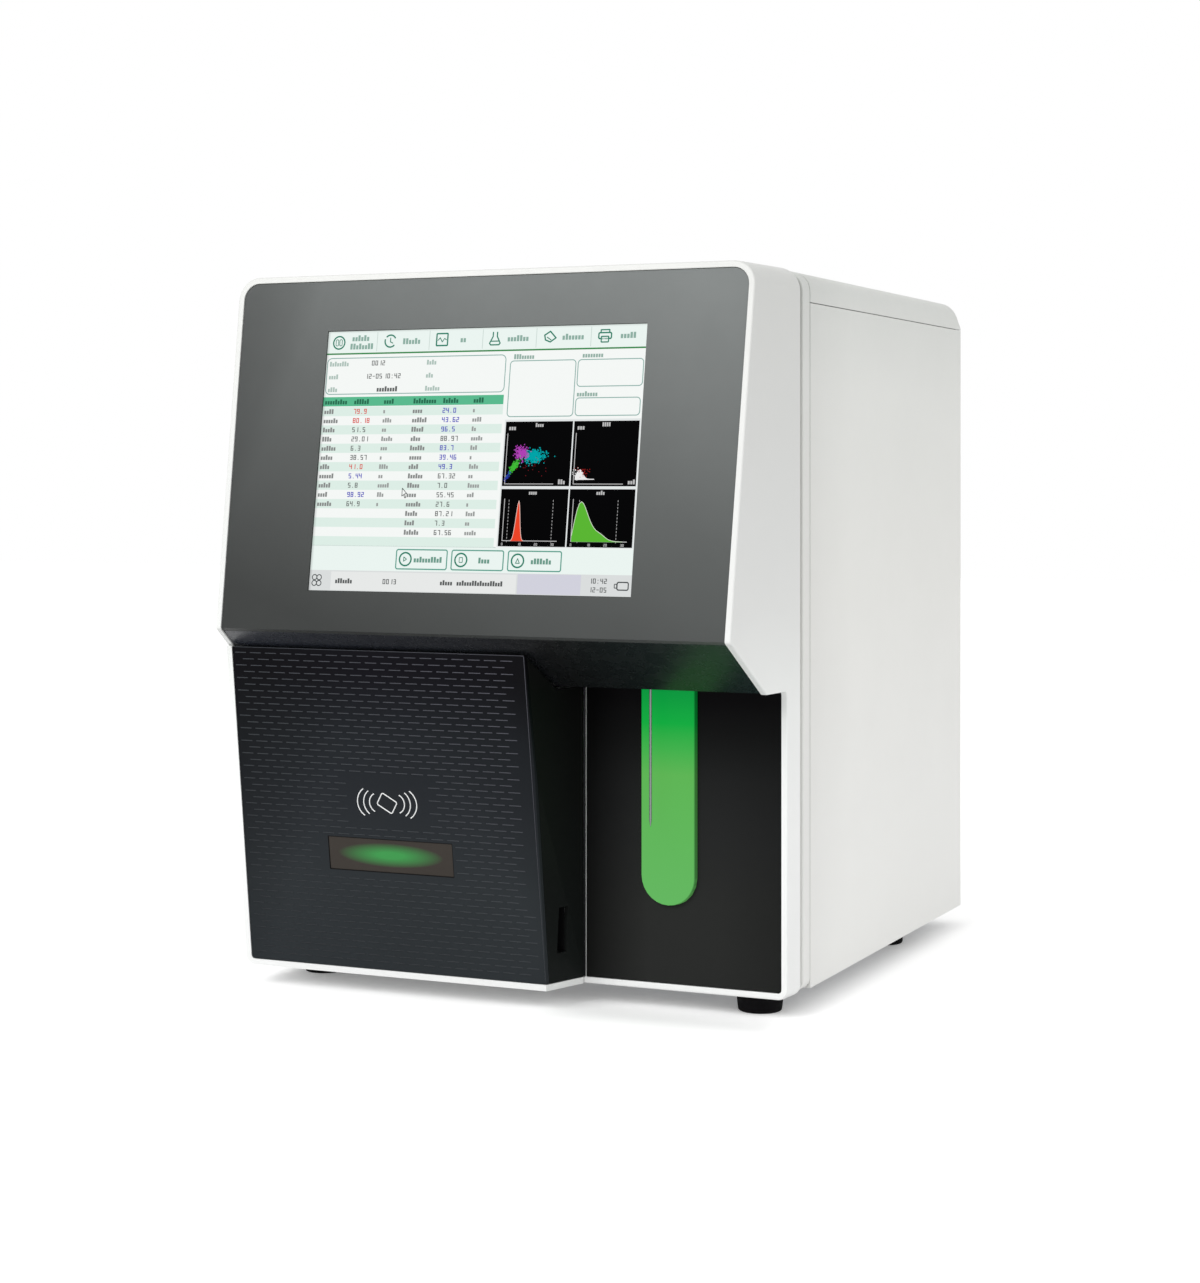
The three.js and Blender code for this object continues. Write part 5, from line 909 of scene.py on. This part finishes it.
def door_dashes():
    """Moulded dashes: slim raised pills. Every second row is moved by half a pitch, and the mark and
    the window are left clear."""
    pitch, row_pitch, half_long, half_tall, rise = 10.7, 3.95, 4.0, 0.3, 0.25
    v, u = np.meshgrid(np.arange(up_door(21), up_door(211), row_pitch), np.arange(-160, 31, pitch),
                       indexing="ij")
    u = u + (np.arange(len(u)) % 2)[:, None] * pitch / 2
    keep = (u + half_long < 31.7 - 0.008 * (v + DOOR_TOP_HEIGHT)) & (u - half_long > -164.5)
    for height, wide, tall in ((MARK_Z, 24, 15), (WINDOW_Z, 43.5, 12.2)):
        keep &= (np.abs(u - WINDOW_X) >= wide + half_long) | (np.abs(v - up_door(height)) >= tall)
    spots = np.insert(np.stack((u[keep], v[keep]), 1), 2, -0.5, 1)
    cos, sin = circle(10)
    end = np.where(cos >= 0, 1, -1) * (half_long - half_tall)
    pill = np.concatenate([np.insert(np.stack((end + r * cos, r * sin), 1), 2, out, 1) for r, out in (
        (half_tall, -0.2), (half_tall, 0.3 * rise), (0.45 * half_tall, rise))])
    points = (pill + spots[:, None]).reshape(-1, 3)
    form = placed((points, repeated(len(spots), len(pill), closed_faces(3, 10))), *DOOR_PLANE)
    # The dashes' lighter grey is a painted highlight on their edges.
    shown("door_dashes", form, painted_highlight_grey, "door")


def on_door(line, out, radius, closed=False):
    """Fine round bead along a line of (across, up) on the door's front, `out` from it."""
    return placed(tube(np.insert(np.asarray(line, float), 2, out, 1), radius, closed, 6), *DOOR_PLANE)


def card_mark():
    """Contactless mark: a tilted rounded card between two sets of three arcs, as fine raised lines."""
    centre = (-64.3, up_door(MARK_Z))
    forms = []
    for side in (-1, 1):
        for apex, radius, tall in ((12, 6.1, 5.5), (16, 8.8, 7.1), (20.3, 9.8, 8.3)):
            reach = math.asin(tall / radius)
            turn = np.linspace(-reach, reach, 18)
            arc = np.stack((side * (apex - radius + radius * np.cos(turn)), radius * np.sin(turn)), 1)
            forms.append(on_door(centre + arc, -0.42, 0.36))
    card = mirrored(rounded_path([(0, -4.1), (5.7, -4.1), (5.7, 4.1), (0, 4.1)], [1.1, 1.1], 5))
    forms.append(on_door(centre + card @ rotation(math.radians(-30)), -0.42, 0.36, True))
    shown("card_mark", together(*forms), mark_grey, "door")


def status_window():
    """Smoked window with a bevelled edge. A green glow of the lamp behind it fills an ellipse."""
    material, shader, place = new_material("smoked_window_glow")
    wide, tall = 0.03, 0.0062
    away = after(place, "Mapping", {"Vector": place, "Location": (0.0645 / wide, 0, -0.0876 / tall),
                                    "Scale": (1 / wide, 0, 1 / tall)}).outputs[0]
    glow = ranged(worked("VectorMath", "LENGTH", away), 1, 0, 0.3, 1.2)
    smoke = blended(noise(place, 40, 3), rgb(56, 51, 47), rgb(62, 57, 52))
    lit(shader, blended(glow, grey(0), rgb(12, 150, 62)), 0.9, smoke, 0.3, 0.1)
    middle = up_door(WINDOW_Z)
    points, faces = plate(42.5, middle - 10.2, middle + 10.2, 0.6, 0.6, edge(0.35, 1.65))
    form = placed((points + (WINDOW_X, 0, -2.45), faces), *DOOR_PLANE)
    shown("status_window_pane", form, material, "door", ("status_window",))
    line = outline(42.65, middle - 10.35, middle + 10.35, 0.5, 0.5) + (WINDOW_X, 0)
    shown("window_gasket", on_door(line, -0.7, 0.3, True), trim_black, "door")


def edge_bead():
    """Painted highlight: a fine bright line along the door's right and top edges, where they catch the
    light.
    """
    right = [(35.0 - 0.008 * z, up_door(z)) for z in np.linspace(18, 212, 12)]
    top = [(x, up_door(212.2)) for x in np.linspace(33.2, -163.8, 12)]
    form = together(*(on_door(line, -0.55, 0.22) for line in (right, top)))
    shown("door_edge_highlight", form, painted_highlight_grey, "door")


def finger_cup():
    """Dark cup that lines the finger slot: its mouth follows the slant of the door's side."""
    loops = []
    for x_front, x_rear, inset in ((27.4, 27.4, 0.2), (37.5, 39.9, 0.2), (37.5, 39.9, 0), (26.9, 26.9, 0)):
        front, rear, low, high = 49.7 + inset, 57.3 - inset, 33.6 + inset, 60.5 - inset
        loops.append([(x_front, front, low), (x_rear, rear, low), (x_rear, rear, high),
                      (x_front, front, high)])
    shown("finger_cup", capped(loops), trim_black, "door")


door_dashes()
card_mark()
status_window()
edge_bead()
finger_cup()


# Sample station

def start_key():
    """Green plate with a round lower end and a soft edge, lit from behind. It is darker where the
    distance from its middle line comes near its half width."""
    material, shader, place = new_material("key_green_lit")
    tone = ramped(along(place, (0, 0, 1), 0.064, 0.191), [
        (0, 105, 184, 97), (0.6, 98, 182, 84), (0.72, 66, 178, 74), (0.84, 6, 172, 60), (1, 0, 152, 62)])
    split = after(place, "SeparateXYZ", {"Vector": place}).outputs
    centre = (KEY_BOTTOM + KEY_RADIUS) / 1000
    below = worked("Math", "MINIMUM", split["Z"], centre)
    aside = after(below, "CombineXYZ", {"X": split["X"], "Z": below}).outputs[0]
    reach = worked("VectorMath", "DISTANCE", aside, ((KEY_X - 0.5) / 1000, 0, centre))
    rim = ranged(reach, 1, 0.2, 0.0169, 0.0178)
    base = blended(noise(place, 60), rgb(4, 62, 26), rgb(6, 68, 28))
    lit(shader, multiplied(tone, rim), 0.87, base, 0.4, 0.06)
    front = plate(KEY_RADIUS, KEY_BOTTOM, KEY_TOP, KEY_RADIUS, 0.4, edge(0.8, 8.2, 5))
    back = plate(KEY_RADIUS + 3, KEY_BOTTOM - 3, KEY_TOP, KEY_RADIUS + 3, 0.4,
                 [(0.1, 0), (0, 0.1), (0, 1.9), (0.1, 2)])
    form = placed(together(front, back), (KEY_X, 80.0, 0), *FACING)
    shown("start_key_plate", form, material, "start_key", ("start_key",))


def probe_needle():
    """Steel needle: a thin turned rod with a ground cone at its tip."""
    (_, _, bottom), _, (_, _, top) = extent("sample_probe")
    profile = [(0, bottom), (0.18, bottom + 0.1), (0.8, bottom + 4), (0.8, top - 0.3), (0.5, top), (0, top)]
    shown("probe_needle", turned(profile, (PROBE_X, PROBE_DEPTH, 0), sides=24), needle_steel, "probe",
          ("sample_probe",))


start_key()
probe_needle()


# Reagents behind the door

def round_loop(centre, half_x, half_y, height, power=2.0, ribs=0, deep=0.0, sides=96):
    """Closed level line |x/a|^n + |y/b|^n = 1 about a centre, for the power n: 2 is an ellipse and a
    high power nears a rectangle. With ribs, it is drawn in by `deep` in rounded grooves."""
    turn = np.linspace(0, 2 * math.pi, sides, endpoint=False)
    groove = deep * (1 - np.abs(np.cos(ribs * turn / 2)))
    x, y = ((half - groove) * np.sign(way) * np.abs(way) ** (2 / power)
            for half, way in zip((half_x, half_y), circle(sides)))
    return np.column_stack((centre[0] + x, centre[1] + y, np.full(sides, height)))


def bottle(name, cap_name):
    """Blow-moulded bottle, whose shoulder closes on a round neck along a quarter ellipse, and its cap."""
    (_, _, low), middle, high = extent(name)
    half, top, neck = (high - middle)[:2], high[2], 13
    shoulder = top - 27
    profile = [(inset, low + up) for inset, up in (
        (9, 1.2), (7, 0.3), (4, 0), (1.6, 0.7), (0.4, 2.2), (0, 4), (0, 12))]
    profile += [(0, 38), (0.8, 39), (0.8, 108), (0, 109), (0, shoulder)]
    loops = [round_loop(middle, *(half - inset), z, 7) for inset, z in profile]
    for share in np.linspace(0, 1, 9)[1:]:
        size = half + (neck - half) * (1 - math.sqrt(1 - share * share))
        loops.append(round_loop(middle, *size, shoulder + 13 * share, 7 - 5 * share))
    loops += [round_loop(middle, neck, neck, top - 0.5), round_loop(middle, neck - 0.5, neck - 0.5, top)]
    shown(name + "_blown", capped(loops), bottle_plastic, stands_for=(name,))

    (_, _, low), middle, (right, _, top) = extent(cap_name)
    radius = right - middle[0]
    profile = [(1.2, low, 0), (0, low + 0.4, 0), (0, low + 2.6, 0), (0.1, low + 3, 0.7),
               (0.1, top - 2.6, 0.7), (0.3, top - 1.4, 0.3), (0.9, top - 0.5, 0), (2, top, 0), (5, top, 0)]
    loops = [round_loop(middle, radius - inset, radius - inset, z, 2, 32, deep, 128)
             for inset, z, deep in profile]
    shown(cap_name + "_ribbed", capped(loops), cap_blue, stands_for=(cap_name,))


bottle("left_reagent_bottle", "left_bottle_cap")
bottle("right_reagent_bottle", "right_bottle_cap")


# Rear fittings

FAN_X, _, FAN_Z = extent("fan_frame")[1]


def rear_circle(x, z, radius, depth, sides):
    """Closed circle about an axis that runs from front to rear."""
    return np.insert(np.stack(circle(sides), 1) * radius + (x, z), 1, depth, 1)


def fan_guard():
    """Three rings of round wire over two crossed bars, whose ends are eyes for the screws."""
    depth, wire = 422.6, 0.8
    forms = [tube(rear_circle(FAN_X, FAN_Z, r, depth, 48), wire, True, 8) for r in (13.3, 25.8, 38.3)]
    across = np.array((math.cos(math.pi / 4), 0, math.sin(math.pi / 4)))
    for side in (across, across * (1, 1, -1)):
        reach = np.linspace(-40.7, 40.7, 9)[:, None]
        forms.append(tube(reach * side + (FAN_X, depth, FAN_Z), wire, sides=8))
    shown("fan_guard_wires", together(*forms), bare_steel, stands_for=("fan_guard",))


def fan_rotor():
    """Hub and seven blades. A blade's section is a thin lens, pitched by 0.95 at the hub and by 0.5 at
    the tip and bent round the axis."""
    (_, front, _), (_, middle, _), (_, rear, _) = extent("fan_rotor")
    profile = [(0, front), (14.6, front), (15.6, front + 1), (15.6, rear - 2.4), (15.1, rear - 1.2),
               (14, rear - 0.4), (12.8, rear), (0, rear)]
    forms = [turned(profile, (FAN_X, 0, FAN_Z), REAR_AXIS, 40)]
    lens = np.stack(circle(16), 1) * (8.5, 0.8)
    for blade in range(7):
        loops = []
        for share in np.linspace(0, 1, 9):
            radius = 15.2 + 19.2 * share
            aside, deep = (lens @ rotation(0.95 - 0.45 * share)).T
            angle = blade * 2 * math.pi / 7 + 0.25 * share + aside / radius
            loops.append(np.stack((FAN_X + radius * np.cos(angle), middle + deep,
                                   FAN_Z + radius * np.sin(angle)), 1))
        forms.append(capped(loops))
    shown("fan_rotor_blades", together(*forms), module_black, "fan_rotor", ("fan_rotor",))


def fluid_ports():
    """Plate with four hose nipples, each on a chamfered hexagonal nut, with a barb and a bore."""
    _, (middle, _, z), (_, tip, _) = extent("fluid_ports")
    base = placed(plate(56, -13, 13, 3, 3, edge(0.5, 3)), (middle, 421.8, z), *FACING_BACK)
    shown("fluid_port_plate", base, zinc_steel, stands_for=("fluid_ports",))
    profile = [(0, 424), (4.2, 424), (4.2, tip - 1.3), (4.5, tip - 1), (4.2, tip - 0.6), (3.2, tip - 0.1),
               (2.8, tip), (1.7, tip), (1.5, tip - 0.2), (1.5, 424.3), (0, 424.3)]
    forms = []
    for x in (53, 79, 105, 131):
        nut = [rear_circle(x, z, r, d, 6) for r, d in ((7.9, 424.5), (7.9, 425.8), (7.1, 426.3))]
        forms += [capped(nut), turned(profile, (x, 0, z), REAR_AXIS, 32)]
    shown("fluid_port_nipples", together(*forms), module_black)


def port_contacts():
    """Rims of the three data sockets, with tongues or pins inside."""
    shells = []
    for x, wide, tall in ((-11, 6.7, 3), (10, 6.7, 3), (31, 6.2, 4.4)):
        line = [(x + a * wide, 423.8, 250 + b * tall) for a, b in ((-1, -1), (1, -1), (1, 1), (-1, 1))]
        shells.append(tube(line, 0.4, True, 4))
    tongues = [block((x - 5.2, 412, 249.2), (x + 5.2, 422.6, 250.8)) for x in (-11, 10)]
    spots = 31 + 1.05 * (np.arange(8) - 3.5)
    pins = [block((x - 0.2, 412.5, 251.6), (x + 0.2, 421.2, 252.4)) for x in spots]
    shown("port_shells", together(*shells), bare_steel)
    shown("port_tongues", together(*tongues), module_black)
    shown("port_pins", together(*pins), brass)


def rocker_marks():
    """Bar and ring in white on the rocker's two faces, which meet in a shallow valley and are turned
    about the pivot by the tilt at rest."""
    pivot, edge_reach, dip, radius, tilt = (422.2, 75), 2.6, 1.2, 9, 0.2
    ends = np.array(((edge_reach - dip, 0), (edge_reach, math.sqrt(radius ** 2 - edge_reach ** 2))))
    bar = plate(0.3, -1.5, 1.5, 0.1, 0.1, edge(0.02, 0.06))
    round_mark = tube(np.insert(1.4 * np.stack(circle(24), 1), 2, 0, 1), 0.22, True, 6)
    forms = []
    for side, mark in ((1, bar), (-1, round_mark)):
        valley, rim = (ends * (1, side)) @ rotation(tilt)
        origin = (-118, *((valley + rim) / 2 + pivot))
        forms.append(placed(mark, origin, FACING_BACK[0], (0, *unit((rim - valley) * side))))
    shown("rocker_marks", together(*forms), mark_grey, "power_rocker")


def rear_screws():
    """Pan-head screws on the rear panel, each a turned dome with a dark cross on it: painted shade that
    stands for the shade in a pressed-in cross recess.
    """
    spots = [(x, REAR_FACE, z) for x in (-160, 0, 160) for z in (28, 408)]
    spots += [(x, REAR_FACE, z) for x in (-160, 160) for z in (150, 280)]
    spots += [(FAN_X + a, 423.3, FAN_Z + b) for a in (-28.8, 28.8) for b in (-28.8, 28.8)]
    dome = [(0, -0.1), (2.9, -0.1), (3, 0.2), (2.8, 0.8), (2.2, 1.3), (1.2, 1.6), (0, 1.7)]
    heads = [turned(dome, spot, REAR_AXIS, 20) for spot in spots]
    # Painted shade: dark crosses for the shade in the screws' recesses.
    bars = [block((x - a, d + 0.9, z - b), (x + a, d + 1.76, z + b))
            for x, d, z in spots for a, b in ((1.6, 0.3), (0.3, 1.6))]
    shown("rear_screw_heads", together(*heads), zinc_steel)
    shown("rear_screw_cross_shade", together(*bars), trim_black)


fan_guard()
fan_rotor()
fluid_ports()
port_contacts()
rocker_marks()
rear_screws()


# Finishes of the pieces that keep their own shape

finished = [
    (casing_painted_shade_coat, "left_side_panel right_side_panel rear_panel"), (bezel_painted_reflection, "screen_bezel"),
    (chin_painted_reflection, "chin_panel"), (panel_painted_shade, "sample_panel"), (housing_painted_shade_white, "door_shell"),
    (door_black, "door_front"), (painted_shade_side, "door_side"), (rubber_black, "lift_belt"),
    (zinc_steel, "base_pan hinge_bracket bulkhead power_supply fluid_ports"),
    (anodised_grey, "lift_bracket drive_pulley idler_pulley optical_bench"),
    (bare_steel, "left_guide_rod right_guide_rod door_hinge_pin syringe_piston fan_guard"),
    (module_black, "key_switch lift_motor probe_carriage door_catch_magnet pump_head syringe_drive"),
    (module_black, "fan_frame fan_rotor power_inlet power_rocker touch_screen"),
    (clear_acrylic, "probe_wash_block status_lamp reaction_bath syringe_barrel valve_block"),
    (board_green, "card_reader_board main_board"),
    (inner_grey, "reagent_compartment pump_rotor data_ports"),
    (bottle_plastic, "left_reagent_bottle right_reagent_bottle"),
    (cap_blue, "left_bottle_cap right_bottle_cap"),
]
for finish, names in finished:
    for node_name in names.split():
        slots = nodes[node_name].data.materials
        slots.clear()
        slots.append(finish)


# Stage

def seen_directly(tree):
    """1 for rays of the camera, of mirrors and of glass, and 0 for rays that carry light."""
    rays = tree.nodes.new("ShaderNodeLightPath").outputs
    share = worked("Math", "MAXIMUM", rays["Is Camera Ray"], rays["Is Glossy Ray"])
    return worked("Math", "MAXIMUM", share, rays["Is Transmission Ray"])


def floor_material():
    """Plain pale floor. Seen directly it is white, and glows more with the distance from the
    base, so that only the object's own shadow shows."""
    material, shader, place = new_material("floor_white")
    share = seen_directly(material.node_tree)
    for operation, *value in (("SUBTRACT", (0, 0.0225, 0)), ("ABSOLUTE",), ("SUBTRACT", (0.165, 0.1875, 0)),
                              ("MAXIMUM", (0, 0, 0)), ("LENGTH",)):
        place = worked("VectorMath", operation, place, *value)
    glow = ramped(ranged(place, 0, 1, 0, 0.3), [(0, 0.17), (0.07, 0.34), (1, 0.55)])
    lit(shader, grey(1), worked("Math", "MULTIPLY", glow, share), ranged(share, 0.85, 1, 0, 1), 0.9, 0)
    return material


def stage():
    bpy.ops.mesh.primitive_plane_add(size=12, location=(0, 0, 0))
    floor = bpy.context.object
    floor.name = "floor"
    floor.data.materials.append(floor_material())

    world = bpy.data.worlds.new("studio")
    world.use_nodes = True
    bpy.context.scene.world = world
    light = ranged(seen_directly(world.node_tree), 0.62, 1.0, 0, 1)
    feed(world.node_tree.nodes["Background"], {"Color": grey(1), "Strength": light})


def softbox(name, place, target, size, power):
    light = bpy.data.lights.new(name, "AREA")
    light.shape = "RECTANGLE"
    light.size, light.size_y = size
    light.energy = power
    place, target = Vector(place), Vector(target)
    aim = (target - place).to_track_quat("-Z", "Y").to_matrix().to_4x4()
    added(name, light).matrix_world = Matrix.Translation(place) @ aim


def camera():
    made = added("camera", bpy.data.cameras.new("camera"))
    made.location = (0.6779, -1.5259, 0.3179)
    made.rotation_euler = (math.pi / 2, 0, math.radians(24.171))
    made.data.sensor_fit = "HORIZONTAL"
    made.data.sensor_width = 36
    made.data.lens = 2531.9 / 1200 * 36
    made.data.shift_y = -(641.5 - 474.7) / 1200
    bpy.context.scene.camera = made


stage()
softbox("front_light", (-0.9, -2.2, 1.7), (0, 0, 0.2), (1.8, 1.4), 38)
softbox("side_light", (2.4, -0.4, 1.2), (0, 0, 0.25), (1.6, 1.6), 10)
camera()
bpy.context.scene.view_settings.view_transform = "Standard"
